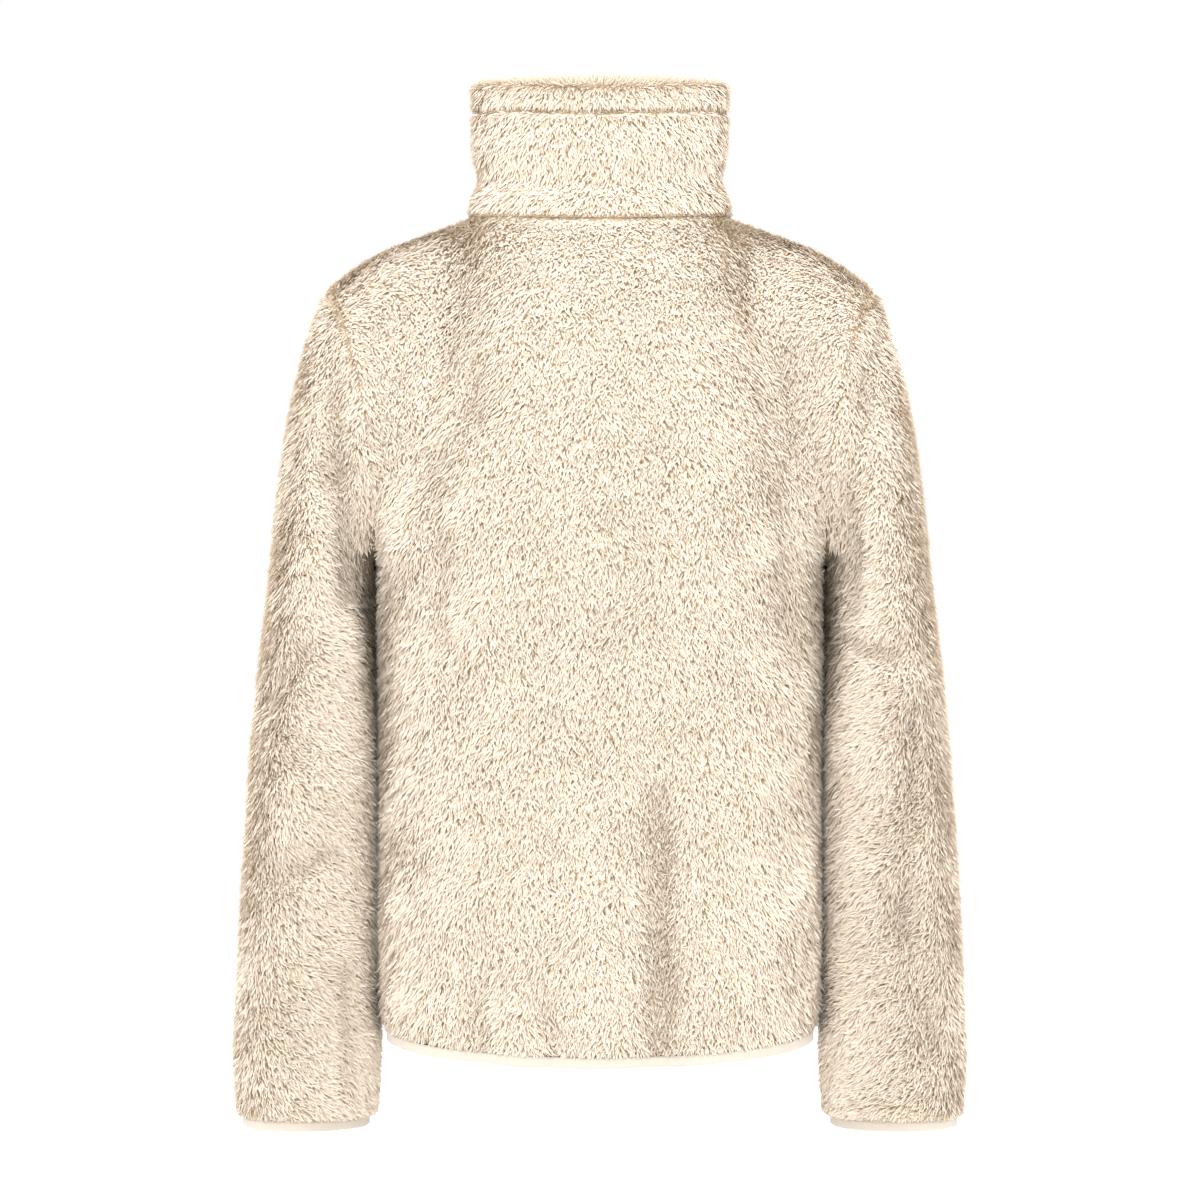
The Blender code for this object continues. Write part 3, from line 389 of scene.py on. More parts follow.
def neck_ring(angle, stand_off, rise):
    """A line round the collar: a superellipse that dips with the square of the angle's cosine."""
    power = 2 / NECK_POWER
    behind = np.cos(angle) > 0
    depth = np.where(behind, NECK_BACK, NECK_FRONT) + stand_off
    dip = np.where(behind, NECK_DIP[BACK], NECK_DIP[FRONT])
    return stacked(
        (NECK_POINT[0] + stand_off) * signed_power(np.sin(angle), power),
        NECK_POINT[1] + depth * signed_power(np.cos(angle), power),
        rise - dip * np.cos(angle) ** 2,
    )


def edge_angle(half_width, power):
    """How far before the middle of the front the zip's edge lies, as an angle."""
    return math.asin((ZIP_OPENING / 2 / half_width) ** (power / 2))


def shoulder_line(part):
    """The shoulder seam: a straight line from the neck to the shoulder point, bowed up by two sine waves."""
    part = part[..., None]
    line = NECK_POINT + part * (SHOULDER_POINT - NECK_POINT)
    bow = SHOULDER_RISE * np.sin(math.pi * part) - SHOULDER_WAVE * np.sin(2 * math.pi * part)
    return line + np.array((0, 0, 1)) * bow


def armhole(turn, side):
    """The armhole: an oval that leans out towards the shoulder point as a power of its height."""
    top = (1 + np.cos(turn)) / 2
    depth = np.where(np.sin(turn) > 0, ARMHOLE_DEPTH[BACK], ARMHOLE_DEPTH[FRONT])
    return stacked(
        side * (ARMHOLE_X + (SHOULDER_POINT[0] - ARMHOLE_X) * top**ARMHOLE_TURN),
        top * SHOULDER_POINT[1] + depth * np.sin(turn),
        UNDERARM + (SHOULDER_POINT[2] - UNDERARM) * top,
    )


def armhole_normals(turn, side):
    """Directions through the wall at the armhole seam: away from the arm that goes through it."""
    top = (1 + np.cos(turn)) / 2
    lean = ARMHOLE_LEAN + ARMHOLE_LEAN_TOP * top
    return unit(stacked(side * lean, np.sin(turn), np.cos(turn)))


def top_line(part, facing, side):
    """The panel's top edge: the neck seam up to the neck point, then the shoulder seam."""
    neck_share = 1 - SHOULDER_FACES / HALF_FACES
    turn = clipped(part / neck_share) * math.pi / 2
    if facing == FRONT:
        turn = np.minimum(math.pi - turn, math.pi - edge_angle(NECK_POINT[0], NECK_POWER))
    neck = neck_ring(turn, 0, 0)
    shoulder = shoulder_line(clipped((part - neck_share) / (1 - neck_share)))
    return np.where((part > neck_share)[..., None], shoulder, neck) * np.array((side, 1, 1))


def half_panel(facing, side, fine):
    """Half of the back, or one front: rings below the underarm, and cubic curves from it to the top line."""
    part = np.linspace(0, 1, HALF_FACES * fine + 1)
    angle = part * math.pi / 2
    if facing == FRONT:
        half = along(BODY_SECTIONS, np.array(UNDERARM))[0]
        angle = np.minimum(math.pi - angle, math.pi - edge_angle(float(half), SECTION_POWER))
    angle = side * angle
    heights = np.linspace(HEM, UNDERARM, ROWS_BELOW * fine + 1)
    lower = body_ring(angle[None, :], heights[:, None])
    if facing == FRONT:
        lower[:, 0, 0] = side * ZIP_OPENING / 2
    start, end = lower[-1], top_line(part, facing, side)
    rising = LEAVE_UP + part * (LEAVE_UP_SIDE - LEAVE_UP)
    leaving = stacked(0, facing * LEAVE_OUT * (1 - part), rising)
    over = clipped(part * HALF_FACES / NECK_FACES) ** 2
    inwards = REACH_NECK_IN + over * (REACH_SHOULDER_IN - REACH_NECK_IN)
    rising = REACH_NECK_UP + over * (REACH_SHOULDER_UP - REACH_NECK_UP)
    arriving = stacked(0, -facing * inwards, rising)
    rows = ROWS_ARMHOLE * fine
    rise = (np.arange(1, rows + 1) / rows)[:, None, None]
    upper = hermite(start, leaving, end, arriving, rise)
    correction = armhole(facing * math.pi * (1 - rise[:, 0, 0]), side) - upper[:, -1]
    upper += correction[:, None] * part[None, :, None] ** ARMHOLE_REACH
    return np.concatenate((lower, upper))


def creased(points, normals, folds, creases, hold, refine):
    """The points pushed in along their normals by the folds and creases, the new normals, and how deep they are."""
    depths = (1 - hold) * fold_depths(points, normals, folds + creases)
    points = points - depths[..., None] * normals
    return points, refine(points), depths


def body_panels(fine):
    """Points, directions out and fold depths of the back and the two fronts."""
    halves = {(f, s): half_panel(f, s, fine) for f in (BACK, FRONT) for s in (LEFT, RIGHT)}
    back = np.concatenate((halves[BACK, RIGHT][:, :0:-1], halves[BACK, LEFT]), axis=1)
    shaped = {}
    middle = np.array((0, 0, -0.3))
    panels = {"back": back, "front_left": halves[FRONT, LEFT], "front_right": halves[FRONT, RIGHT]}
    for name, points in panels.items():
        start = -1 if name == "back" else 0
        across = np.linspace(start, 1, points.shape[1])[None, :]
        rise = np.linspace(0, 1, points.shape[0])[:, None]
        hold = np.maximum(np.abs(across) ** SIDE_HOLD, rise**TOP_HOLD)

        def refine(grid):
            """Directions out of the panel, away from the middle of the body."""
            return facing_out(normals_of(grid, False), grid, middle)

        shaped[name] = creased(points, refine(points), BODY_FOLDS, BODY_CREASES, hold, refine)
    return shaped


def sleeve(side, fine):
    """Points, directions out and fold depths of a sleeve, in rows from armhole to cuff."""
    turn = np.linspace(0, 2 * math.pi, 2 * ROWS_ARMHOLE * fine, endpoint=False)
    heights = np.linspace(SLEEVE_LEVEL, CUFF, LOWER_SLEEVE_ROWS * fine + 1)[:, None]
    outer, inner, depth, back_by = along(SLEEVE_SECTIONS, heights[:, 0])[..., None]
    power = 2 / SLEEVE_POWER
    lower = stacked(
        side * ((outer + inner) / 2 + (outer - inner) / 2 * signed_power(np.cos(turn), power)),
        back_by + depth * signed_power(np.sin(turn), power),
        heights,
    )
    start, end = armhole(turn, side), lower[0]
    top = (1 + np.cos(turn)) / 2
    bottom = 1 - top
    away = CAP_OUT * top + CAP_OUT_SIDES * np.abs(np.sin(turn))
    leaving = stacked(
        side * away, CAP_BACK * np.sin(turn), -(CAP_DOWN * top + CAP_DOWN_UNDERARM * bottom)
    )
    arriving = stacked(
        side * LEVEL_OUT * top, 0, -(LEVEL_DOWN * top + LEVEL_DOWN_UNDERARM * bottom)
    )
    rows = UPPER_SLEEVE_ROWS * fine
    part = (np.arange(rows) / rows)[:, None, None]
    points = np.concatenate((hermite(start, leaving, end, arriving, part), lower))
    middle = points.mean(axis=1, keepdims=True)
    hold = np.exp(-np.arange(points.shape[0]) / fine / ARMHOLE_HOLD_ROWS)[:, None]

    def refine(grid):
        """Directions out of the sleeve, away from the middle of each ring."""
        return facing_out(normals_of(grid, True), grid, middle)

    return creased(points, refine(points), SLEEVE_FOLDS, SLEEVE_CREASES, hold, refine)


def collar_turns(fine):
    """Angles round the collar, from the zip's left edge round the back to its right edge."""
    quarter, count = math.pi / 2, NECK_FACES * fine + 1
    edge = math.pi - edge_angle(NECK_POINT[0], NECK_POWER)
    front = np.minimum(math.pi - np.linspace(0, quarter, count), edge)
    half = np.concatenate((front, np.linspace(quarter, 0, count)[1:]))
    return np.concatenate((half, -half[-2::-1]))


def collar(rise, fine):
    """Points and directions out of the collar's outside, in rows at the given rises."""
    stand_off = along(COLLAR_SECTIONS, rise)[0][:, None]
    turn = collar_turns(fine)
    front = clipped(-np.cos(turn)) ** 2
    points = neck_ring(turn[None, :], stand_off * (1 - ZIP_STIFFNESS * front), rise[:, None])
    points[:, 0, 0] = ZIP_OPENING / 2
    points[:, -1, 0] = -ZIP_OPENING / 2
    return points, facing_out(normals_of(points, False), points, np.array((0, 0, 0.05)))


def collar_thickness(rise):
    """The collar's thickness: the body's at the seam, its own a little above."""
    return np.interp(rise, (0, COLLAR_FULL), (WALL, COLLAR_WALL))


# Seams


def share(*borders):
    """Gives borders that meet at a seam the same direction through the wall."""
    total = unit(sum(borders))
    for border in borders:
        border[...] = total


def close_seams(panels, sleeves, neck, fine):
    """Makes directions through the wall agree along every seam, and draws the pieces apart there."""
    half_gap = SEAM_GAP / 2
    below, shoulder, ring_half = ROWS_BELOW * fine, SHOULDER_FACES * fine, NECK_FACES * fine
    neck_points, neck_normals = neck
    level, straight = np.array((1, 1, 0)), np.array((0, 1, 1))
    for _, normals, _ in panels.values():
        normals[0] = unit(normals[0] * level)
    for _, normals, _ in sleeves.values():
        normals[-1] = unit(normals[-1] * level)
    for name in ("front_left", "front_right"):
        panels[name][1][:, 0] = unit(panels[name][1][:, 0] * straight)
    for column in (0, -1):
        neck_normals[:, column] = unit(neck_normals[:, column] * straight)
    for side, front in ((LEFT, panels["front_left"]), (RIGHT, panels["front_right"])):
        flip = slice(None, None, -1 if side == LEFT else 1)
        back_points, back_normals = panels["back"][0][:, flip], panels["back"][1][:, flip]
        front_points, front_normals = front[0][:, ::-1], front[1][:, ::-1]
        ring_normals = neck_normals[:, ::side]
        share(back_normals[:below, 0], front_normals[:below, 0])
        share(back_normals[-1, 1:shoulder], front_normals[-1, 1:shoulder])
        share(back_normals[-1, shoulder], front_normals[-1, shoulder], ring_normals[0, ring_half])
        share(front_normals[-1, shoulder + 1 :], ring_normals[0, :ring_half][::-1])
        share(
            back_normals[-1, shoulder + 1 : HALF_FACES * fine + 1],
            ring_normals[0, ring_half + 1 : 2 * ring_half + 1],
        )
        turn = np.linspace(math.pi, 0, ROWS_ARMHOLE * fine + 1)
        back_normals[below:, 0] = armhole_normals(turn, side)
        front_normals[below:, 0] = armhole_normals(-turn, side)
        around = np.linspace(0, 2 * math.pi, 2 * ROWS_ARMHOLE * fine, endpoint=False)
        sleeves[side][1][0] = armhole_normals(around, side)
        for points, facing in ((back_points, BACK), (front_points, FRONT)):
            points[: below + 1, 0, 1] += facing * half_gap
            points[-1, : shoulder + 1, 1] += facing * half_gap
            points[below:, 0, 0] -= side * half_gap
        sleeves[side][0][0, :, 0] += side * half_gap
    lift = unit(np.cross(np.gradient(neck_points[0], axis=0), neck_normals[0]))
    lift *= half_gap * np.sign(lift[:, 2:])
    neck_points[0] += lift
    panels["back"][0][-1, shoulder:-shoulder] -= lift[ring_half : 3 * ring_half + 1][::-1]
    for name, own in (("front_left", lift), ("front_right", lift[::-1])):
        panels[name][0][-1, : ring_half + 1] -= own[: ring_half + 1]


def collar_rises(fine):
    """Rises of the collar's rows up to where its top edge starts to round."""
    knots = [rise for rise, _ in COLLAR_SECTIONS if rise < COLLAR_ROUND_FROM] + [COLLAR_ROUND_FROM]
    places = np.linspace(0, len(knots) - 1, (len(knots) - 1) * fine + 1)
    return np.interp(places, np.arange(len(knots)), knots)


def garment(fine):
    """The whole cloth: panels, sleeves, and the collar's rows with their rises."""
    panels = body_panels(fine)
    sleeves = {side: sleeve(side, fine) for side in (LEFT, RIGHT)}
    rises = collar_rises(fine)
    neck = collar(rises, fine)
    close_seams(panels, sleeves, neck, fine)
    return panels, sleeves, (*neck, rises)


# Meshes


def grid_faces(rows, columns, around):
    """The four corners of each face of a grid of points, in the order of its rows."""
    index = np.arange(rows * columns).reshape(rows, columns)
    if around:
        index = np.concatenate((index, index[:, :1]), axis=1)
    corners = (index[:-1, :-1], index[:-1, 1:], index[1:, 1:], index[1:, :-1])
    return np.stack(corners, axis=-1).reshape(-1, 4), index


def mesh_of(name, points, faces, marks=None):
    """A mesh of points and of faces that all have as many corners, with each face's material number."""
    mesh = bpy.data.meshes.new(name)
    corners = faces.shape[1]
    mesh.vertices.add(len(points))
    mesh.vertices.foreach_set("co", points.astype(np.float32).ravel())
    mesh.loops.add(faces.size)
    mesh.loops.foreach_set("vertex_index", faces.astype(np.int32).ravel())
    mesh.polygons.add(len(faces))
    mesh.polygons.foreach_set("loop_start", np.arange(0, faces.size, corners, dtype=np.int32))
    if marks is not None:
        mesh.polygons.foreach_set("material_index", marks.astype(np.int32))
    mesh.update(calc_edges=True)
    return mesh


def placed(name, mesh, materials, node=None, body="jacket"):
    """A new piece of this mesh, with its materials, that rides on a body and may replace a solid."""
    made = bpy.data.objects.new(name, mesh)
    bpy.context.scene.collection.objects.link(made)
    for finish in materials:
        mesh.materials.append(finish)
    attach(made, body)
    name in CUTS
    if node is not None:
        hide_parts(node)


def turned_out(points, faces):
    """The faces, with their corners' order turned round if the closed shell would be inside out.

    The shell's signed volume is the sum of its faces' corner products, by triangles from each
    face's first corner.
    """
    total = 0.0
    for k in range(1, faces.shape[1] - 1):
        a, b, c = points[faces[:, 0]], points[faces[:, k]], points[faces[:, k + 1]]
        total += np.sum(a * np.cross(b, c))
    return faces if total > 0 else faces[:, ::-1]


def shell_mesh(name, outside, inside, around):
    """A closed shell between two grids: outer faces are marked 0, inner ones 1, and the rim 2."""
    rows, columns = outside.shape[:2]
    outer, index = grid_faces(rows, columns, around)
    count = rows * columns
    edges = [index[0], index[-1][::-1]]
    if not around:
        edges += [index[::-1, 0], index[:, -1]]
    rims = [
        np.stack((edge[1:], edge[:-1], edge[:-1] + count, edge[1:] + count), axis=-1)
        for edge in edges
    ]
    rim = np.concatenate(rims)
    faces = np.concatenate((outer, outer[:, ::-1] + count, rim))
    points = np.concatenate((outside.reshape(-1, 3), inside.reshape(-1, 3)))
    marks = np.repeat((0, 1, 2), (len(outer), len(outer), len(rim)))
    return mesh_of(name, points, turned_out(points, faces), marks)


def tube(rings, around=False):
    """Points and faces of a closed tube of rings, joined end to end if it goes around, and capped if not.

    A cap joins each half of its ring to the other half, so it has only four-cornered faces.
    """
    count, size = rings.shape[:2]
    faces, index = grid_faces(count, size, True)
    if around:
        last = np.stack((index[-1, :-1], index[-1, 1:], index[0, 1:], index[0, :-1]), axis=-1)
        faces = np.concatenate((faces, last))
    else:
        for ring, step in ((index[0, :-1], 1), (index[-1, :-1], -1)):
            low, high = ring[: size // 2], ring[::-1][: size // 2]
            cap = np.stack((low[:-1], high[:-1], high[1:], low[1:]), axis=-1)
            faces = np.concatenate((faces, cap[:, ::step]))
    points = rings.reshape(-1, 3)
    return points, turned_out(points, faces)


# Materials

# Sizes of what repeats in the knits and the weave
WALE_WIDTH, LOOP_HEIGHT = 0.0016, 0.0012
BINDING_RIB, BINDING_LOOP = 0.0011, 0.0008
TAPE_BAND, TAPE_WEFT, TAPE_WARP = 0.0030, 0.0009, 0.0006
# Where the two partings between a lock's three strands lie across it, and how wide they are; painted shadow darkens
# the partings
PARTINGS, PARTING_WIDTH = (0.33, 0.68), 0.09


class Value:
    """The output of a node, on which Python's operators add Math nodes."""

    def __init__(self, net, socket):
        self.net, self.socket = net, socket

    def math(self, operation, first, second=0.0):
        return self.net.add("Math", {"operation": operation}, {"Value": first, "Value_001": second})

    def __add__(self, other):
        return self.math("ADD", self, other)

    def __sub__(self, other):
        return self.math("SUBTRACT", self, other)

    def __rsub__(self, other):
        return self.math("SUBTRACT", other, self)

    def __mul__(self, other):
        return self.math("MULTIPLY", self, other)

    def __truediv__(self, other):
        return self.math("DIVIDE", self, other)

    def __abs__(self):
        return self.math("ABSOLUTE", self)

    __radd__, __rmul__ = __add__, __mul__

    def sine(self):
        return self.math("SINE", self)

    def fraction(self):
        return self.math("FRACT", self)

    def least(self, other):
        return self.math("MINIMUM", self, other)

    def most(self, other):
        return self.math("MAXIMUM", self, other)


class Net:
    """A material whose nodes all come from one method, round its Principled shader."""

    def __init__(self, name, **constants):
        self.material = bpy.data.materials.new(name)
        self.material.use_nodes = True
        self.tree = self.material.node_tree
        self.shader = self.tree.nodes["Principled BSDF"]
        for key, value in constants.items():
            self.shader.inputs[key.replace("_", " ")].default_value = value

    def put(self, node, key, value):
        """Links or sets the socket of this identifier or name."""
        found = [s for s in node.inputs if s.identifier == key]
        found += [s for s in node.inputs if s.name == key and s.enabled]
        if isinstance(value, Value):
            self.tree.links.new(value.socket, found[0])
        else:
            found[0].default_value = value

    def add(self, kind, settings=None, sockets=None, output=0):
        """A node of this kind, with its settings made before its sockets are set or linked."""
        node = self.tree.nodes.new("ShaderNode" + kind)
        for key, value in (settings or {}).items():
            setattr(node, key, value)
        for key, value in (sockets or {}).items():
            self.put(node, key, value)
        return Value(self, node.outputs[output])

    def mix(self, first, second, factor):
        """A colour between two."""
        return self.add(
            "Mix",
            {"data_type": "RGBA", "clamp_factor": True},
            {"Factor_Float": factor, "A_Color": first, "B_Color": second},
            2,
        )

    def noise(self, scale, detail=3.0, roughness=0.5, where=None):
        """Noise on the piece's own place, or on the given vector."""
        where = where or self.add("TexCoord", output=3)
        return self.add(
            "TexNoise", None, {"Vector": where, "Scale": scale, "Detail": detail, "Roughness": roughness}
        )

    def map_axes(self, name):
        """The two coordinates of the piece's own map."""
        uv = self.add("UVMap", {"uv_map": name})
        return (self.add("SeparateXYZ", None, {"Vector": uv}, k) for k in (0, 1))

    def finish(self, colour=None, roughness=None, height=None, distance=0.0004, strength=1.0):
        """Links what varies over the surface to the shader."""
        if colour is not None:
            self.put(self.shader, "Base Color", colour)
        if roughness is not None:
            self.put(self.shader, "Roughness", roughness)
        if height is not None:
            bump = self.add("Bump", None, {"Height": height, "Distance": distance, "Strength": strength})
            self.put(self.shader, "Normal", bump)
        return self.material


def rgba(colour, share_of=1.0):
    """An opaque colour, darkened to a share of itself."""
    return (*(share_of * c for c in colour), 1.0)


def pile_material(settings):
    """Locks that are cream at the tip and darkened by painted shade down to a brown root, with painted shadow in the
    partings between their three strands and painted shade towards their edges.
    """
    net = Net("pile", Roughness=0.9, Sheen_Weight=0.15, Sheen_Roughness=0.5, Specular_IOR_Level=0.15)
    place, rise = net.map_axes(PILE_MAP)
    place = place * PILE_TONES
    tone = (place - place.fraction() + 0.5) / PILE_TONES
    across = (place.fraction() - BAND_MARGIN) / (1 - 2 * BAND_MARGIN)
    nearest = abs(across - PARTINGS[0]).least(abs(across - PARTINGS[1]))
    parting_shadow = (1.0 - nearest / PARTING_WIDTH).most(0.0)
    beside = abs(across - 0.5) * 2.0
    # Painted shadow in the partings, deeper towards the root, and painted shade towards each lock's edges
    tone = tone - parting_shadow * (1.1 - rise) * 0.40 - beside * beside * 0.16
    # Painted shade: each lock darkens from its cream tip through the middle colour to the root, as shade deep in the
    # pile
    body = net.mix(rgba(settings.pile_root_shade), rgba(settings.pile_middle), ((rise - 0.06) / 0.24).most(0.0).least(1.0))
    body = net.mix(body, rgba(settings.pile_tip), ((rise - 0.30) / 0.40).most(0.0).least(1.0))
    # Low tones mix towards the shade colour: darker locks at random, and the painted shade and painted light in each
    # lock's tone
    return net.finish(net.mix(rgba(settings.pile_shade), body, tone.most(0.0)))


def ground_material(settings):
    """The knitted ground under the pile, painted darker as the shade deep under the locks, with broken tufts."""
    net = Net("pile_ground", Roughness=0.95, Specular_IOR_Level=0.1)
    tufts = net.noise(420.0, 2.0, 0.6)
    patches = net.noise(30.0, 2.0)
    factor = ((tufts - 0.35) * 2.2 + (patches - 0.5)).most(0.0).least(1.0)
    # Painted shade: the ground takes a darkened root colour, lighter on its tufts
    colour = net.mix(rgba(settings.pile_root_shade, 0.75), rgba(settings.pile_middle), factor)
    return net.finish(colour, height=tufts, distance=0.0012, strength=0.8)


def reverse_material(settings):
    """The knitted reverse: columns of small slanted loops, from the piece's own place."""
    net = Net("knitted_reverse", Roughness=0.92, Sheen_Weight=0.1, Specular_IOR_Level=0.15)
    across, up = net.map_axes("cloth")
    wale = across / WALE_WIDTH
    slant = abs(wale.fraction() - 0.5) * 1.6
    loops = ((up / LOOP_HEIGHT + slant) * (2 * math.pi)).sine() * 0.5 + 0.5
    columns = 1.0 - abs(wale.fraction() - 0.5) * 2.0
    height = loops * 0.6 + columns * 0.4
    patches = net.noise(26.0, 3.0)
    # Painted shade: the knit is darker where it lies low, in its hollows; the patches vary its tone
    colour = net.mix(rgba(settings.reverse, 0.80), rgba(settings.reverse), height * 0.8 + patches * 0.3)
    return net.finish(colour, height=height, distance=0.0003, strength=0.6)


def binding_material(settings):
    """A smooth, close knit: very fine ribs across the strip with painted shade between them, and soft painted shading
    from its stretch.
    """
    net = Net("smooth_binding", Roughness=0.75, Sheen_Weight=0.12, Specular_IOR_Level=0.25)
    across, up = net.map_axes("cloth")
    ribs = (across * (2 * math.pi / BINDING_RIB)).sine() * 0.5 + 0.5
    loops = (up * (2 * math.pi / BINDING_LOOP) + ribs * 2.0).sine() * 0.5 + 0.5
    stretch = net.noise(70.0, 2.0)
    factor = (ribs * 0.25 + loops * 0.15 + stretch * 0.7).least(1.0)
    # Painted shade: darker between the ribs and loops, and where the stretch noise is low
    colour = net.mix(rgba(settings.binding, 0.86), rgba(settings.binding), factor)
    return net.finish(colour, height=ribs * 0.6 + loops * 0.4, distance=0.00018, strength=0.5)


def tape_material(settings):
    """Woven tape: a fine herringbone of threads."""
    net = Net("zip_tape", Roughness=0.8, Sheen_Weight=0.1, Specular_IOR_Level=0.2)
    across, up = net.map_axes("cloth")
    bands = abs((across / TAPE_BAND).fraction() - 0.5) * 2.0
    weave = ((up / TAPE_WEFT + bands * 1.5) * (2 * math.pi)).sine() * 0.5 + 0.5
    threads = (across * (2 * math.pi / TAPE_WARP)).sine() * 0.5 + 0.5
    height = weave * 0.7 + threads * 0.3
    # Painted shade: the weave is darker where its threads lie low
    colour = net.mix(rgba(settings.tape, 0.78), rgba(settings.tape), height)
    return net.finish(colour, height=height, distance=0.0002, strength=0.7)


def teeth_material(settings):
    """Moulded plastic teeth with a slight cloudiness."""
    net = Net("zip_teeth", Specular_IOR_Level=0.5)
    cloud = net.noise(180.0, 2.0)
    colour = net.mix(rgba(settings.teeth, 0.92), rgba(settings.teeth), cloud)
    return net.finish(colour, 0.34 + cloud * 0.14, net.noise(2600.0, 1.0), 0.00004, 0.3)


def metal_material(settings, name):
    """Satin metal, brushed along its length, with rubbed edges that show as smoother patches."""
    net = Net(name, Metallic=1.0)
    place = net.add("TexCoord", output=3)
    brushed = net.add("Mapping", None, {"Vector": place, "Scale": (9.0, 9.0, 1.0)})
    grain = net.noise(700.0, 2.0, 0.6, brushed)
    rubbed = net.noise(240.0, 2.0)
    colour = net.mix(rgba(settings.metal, 0.82), rgba(settings.metal), grain * 0.6 + rubbed * 0.5)
    return net.finish(colour, 0.36 + grain * 0.16 + rubbed * 0.08, grain, 0.00003, 0.25)


# Cloth pieces


def cloth_map(mesh, along_rows, along_columns):
    """Gives a mesh a map in metres, from two numbers for each of its vertices."""
    corners = np.empty(len(mesh.loops), np.int32)
    mesh.loops.foreach_get("vertex_index", corners)
    uv = np.stack((along_rows.ravel(), along_columns.ravel()), axis=-1)[corners]
    layer = mesh.uv_layers.new(name="cloth")
    layer.uv.foreach_set("vector", uv.astype(np.float32).ravel())


def arc_lengths(points, axis):
    """Lengths along a grid's lines from their first point, as sums of the steps between points."""
    steps = np.linalg.norm(np.diff(points, axis=axis), axis=-1)
    zero = np.zeros_like(steps[:1] if axis == 0 else steps[:, :1])
    return np.concatenate((zero, np.cumsum(steps, axis=axis)), axis=axis)


def mapped_shell(name, outside, inside, around):
    """A closed shell between two grids, with its map."""
    mesh = shell_mesh(name, outside, inside, around)
    across, up = (np.concatenate((arc_lengths(outside, axis), arc_lengths(inside, axis))) for axis in (1, 0))
    cloth_map(mesh, across, up)
    return mesh


def cloth_shell(node, shape, around, finishes):
    """The shell from the pile's roots to the cloth's inside, which stands for a solid."""
    points, normals, _ = shape
    name = "cloth_" + node
    mesh = mapped_shell(name, points - PILE_DEPTH * normals, points - WALL * normals, around)
    placed(name, mesh, finishes, node)


def collar_loop(neck, fine):
    """Points, directions out and map heights over the collar's outside, round its top edge and down inside.

    The top edge is half a circle on the last row: its middle plus half the thickness times the
    cosine of the turn along the direction out and the sine along the direction up.
    """
    points, normals, rises = neck
    thickness = collar_thickness(rises)[:, None, None]
    up = unit(points[-1] - points[-2])
    turn = np.linspace(0, math.pi, COLLAR_ARC_FACES * fine // 2 + 1)[1:-1, None, None]
    out = np.cos(turn) * normals[-1] + np.sin(turn) * up
    arc = points[-1] - COLLAR_WALL / 2 * normals[-1] + COLLAR_WALL / 2 * out
    inner = (points - thickness * normals)[::-1]
    loop = np.concatenate((points, arc, inner))
    directions = np.concatenate((normals, out, -normals[::-1]))
    heights = np.concatenate((rises, np.full(len(arc), COLLAR_ROUND_FROM), rises[::-1]))
    inner_side = np.concatenate((np.zeros(len(points)), np.sin(turn[:, 0, 0]), np.ones(len(inner))))
    return loop, directions, heights, inner_side


def collar_shell(neck, fine, finishes):
    """The collar's shell: its loop moved in by the pile's depth, except inside below the facing."""
    loop, directions, heights, inner_side = collar_loop(neck, fine)
    faced = clipped((heights - FACING_RISE + FACING_EASE) / FACING_FADE)
    inset = PILE_DEPTH * np.where(inner_side == 1, faced, 1)
    rings = np.moveaxis(loop - inset[:, None, None] * directions, 0, 1)
    size = rings.shape[1]
    bare = np.concatenate((inner_side[:-1] + inner_side[1:], [2])) > 1.9
    bare &= heights < FACING_RISE
    marks = np.tile(np.where(bare, 1, 0), rings.shape[0] - 1)
    marks = np.concatenate((marks, np.full(2 * (size // 2 - 1), 2)))
    mesh = mesh_of("cloth_collar", *tube(rings), marks)
    cloth_map(mesh, arc_lengths(rings, 0), arc_lengths(rings, 1))
    placed("cloth_collar", mesh, finishes, "collar")


# Pile


class Waves:
    """Smooth noise from -1 to 1: the mean of sine waves in random directions of space."""

    def __init__(self, random, wavelength, count=14):
        """Draws each wave's direction, its length near the given one, and where it starts."""
        directions = unit(random.normal(size=(count, 3)))
        lengths = wavelength * random.uniform(0.7, 1.5, (count, 1))
        self.vectors = directions * 2 * math.pi / lengths
        self.starts = random.uniform(0, 2 * math.pi, count)

    def __call__(self, points):
        """The mean of the waves' sines at the points, stretched to about -1 to 1."""
        waves = np.sin(points @ self.vectors.T + self.starts)
        return np.clip(waves.mean(axis=-1) * math.sqrt(len(self.starts)), -1.6, 1.6) / 1.6


def spread(points, density, random):
    """Places on a grid: cells and two shares inside each, evenly by the cells' areas.

    Places are numbered along the running sum of the areas. The shares are the fractions of the
    numbers times two irrational steps, which never crowd, with a little jitter.
    """
    a, b = points[1:, 1:] - points[:-1, :-1], points[:-1, 1:] - points[1:, :-1]
    areas = np.linalg.norm(np.cross(a, b), axis=-1) / 2
    total = np.cumsum(areas.ravel())
    count = int(total[-1] * density)
    cells = np.searchsorted(total, (np.arange(count) + random.uniform()) / count * total[-1])
    cells = np.minimum(cells, areas.size - 1)
    number = np.arange(count)
    shares = np.stack((number * FIRST_STEP, number * SECOND_STEP)) + random.normal(0, STRAY, (2, count))
    rows, columns = np.divmod(cells, areas.shape[1])
    return rows, columns, *(shares % 1)


def sampled(field, rows, columns, up, across):
    """A grid's numbers at places inside its cells, mixed from the four corners."""
    if field.ndim == 3:
        up, across = up[:, None], across[:, None]
    low = field[rows, columns] * (1 - across) + field[rows, columns + 1] * across
    high = field[rows + 1, columns] * (1 - across) + field[rows + 1, columns + 1] * across
    return low * (1 - up) + high * up


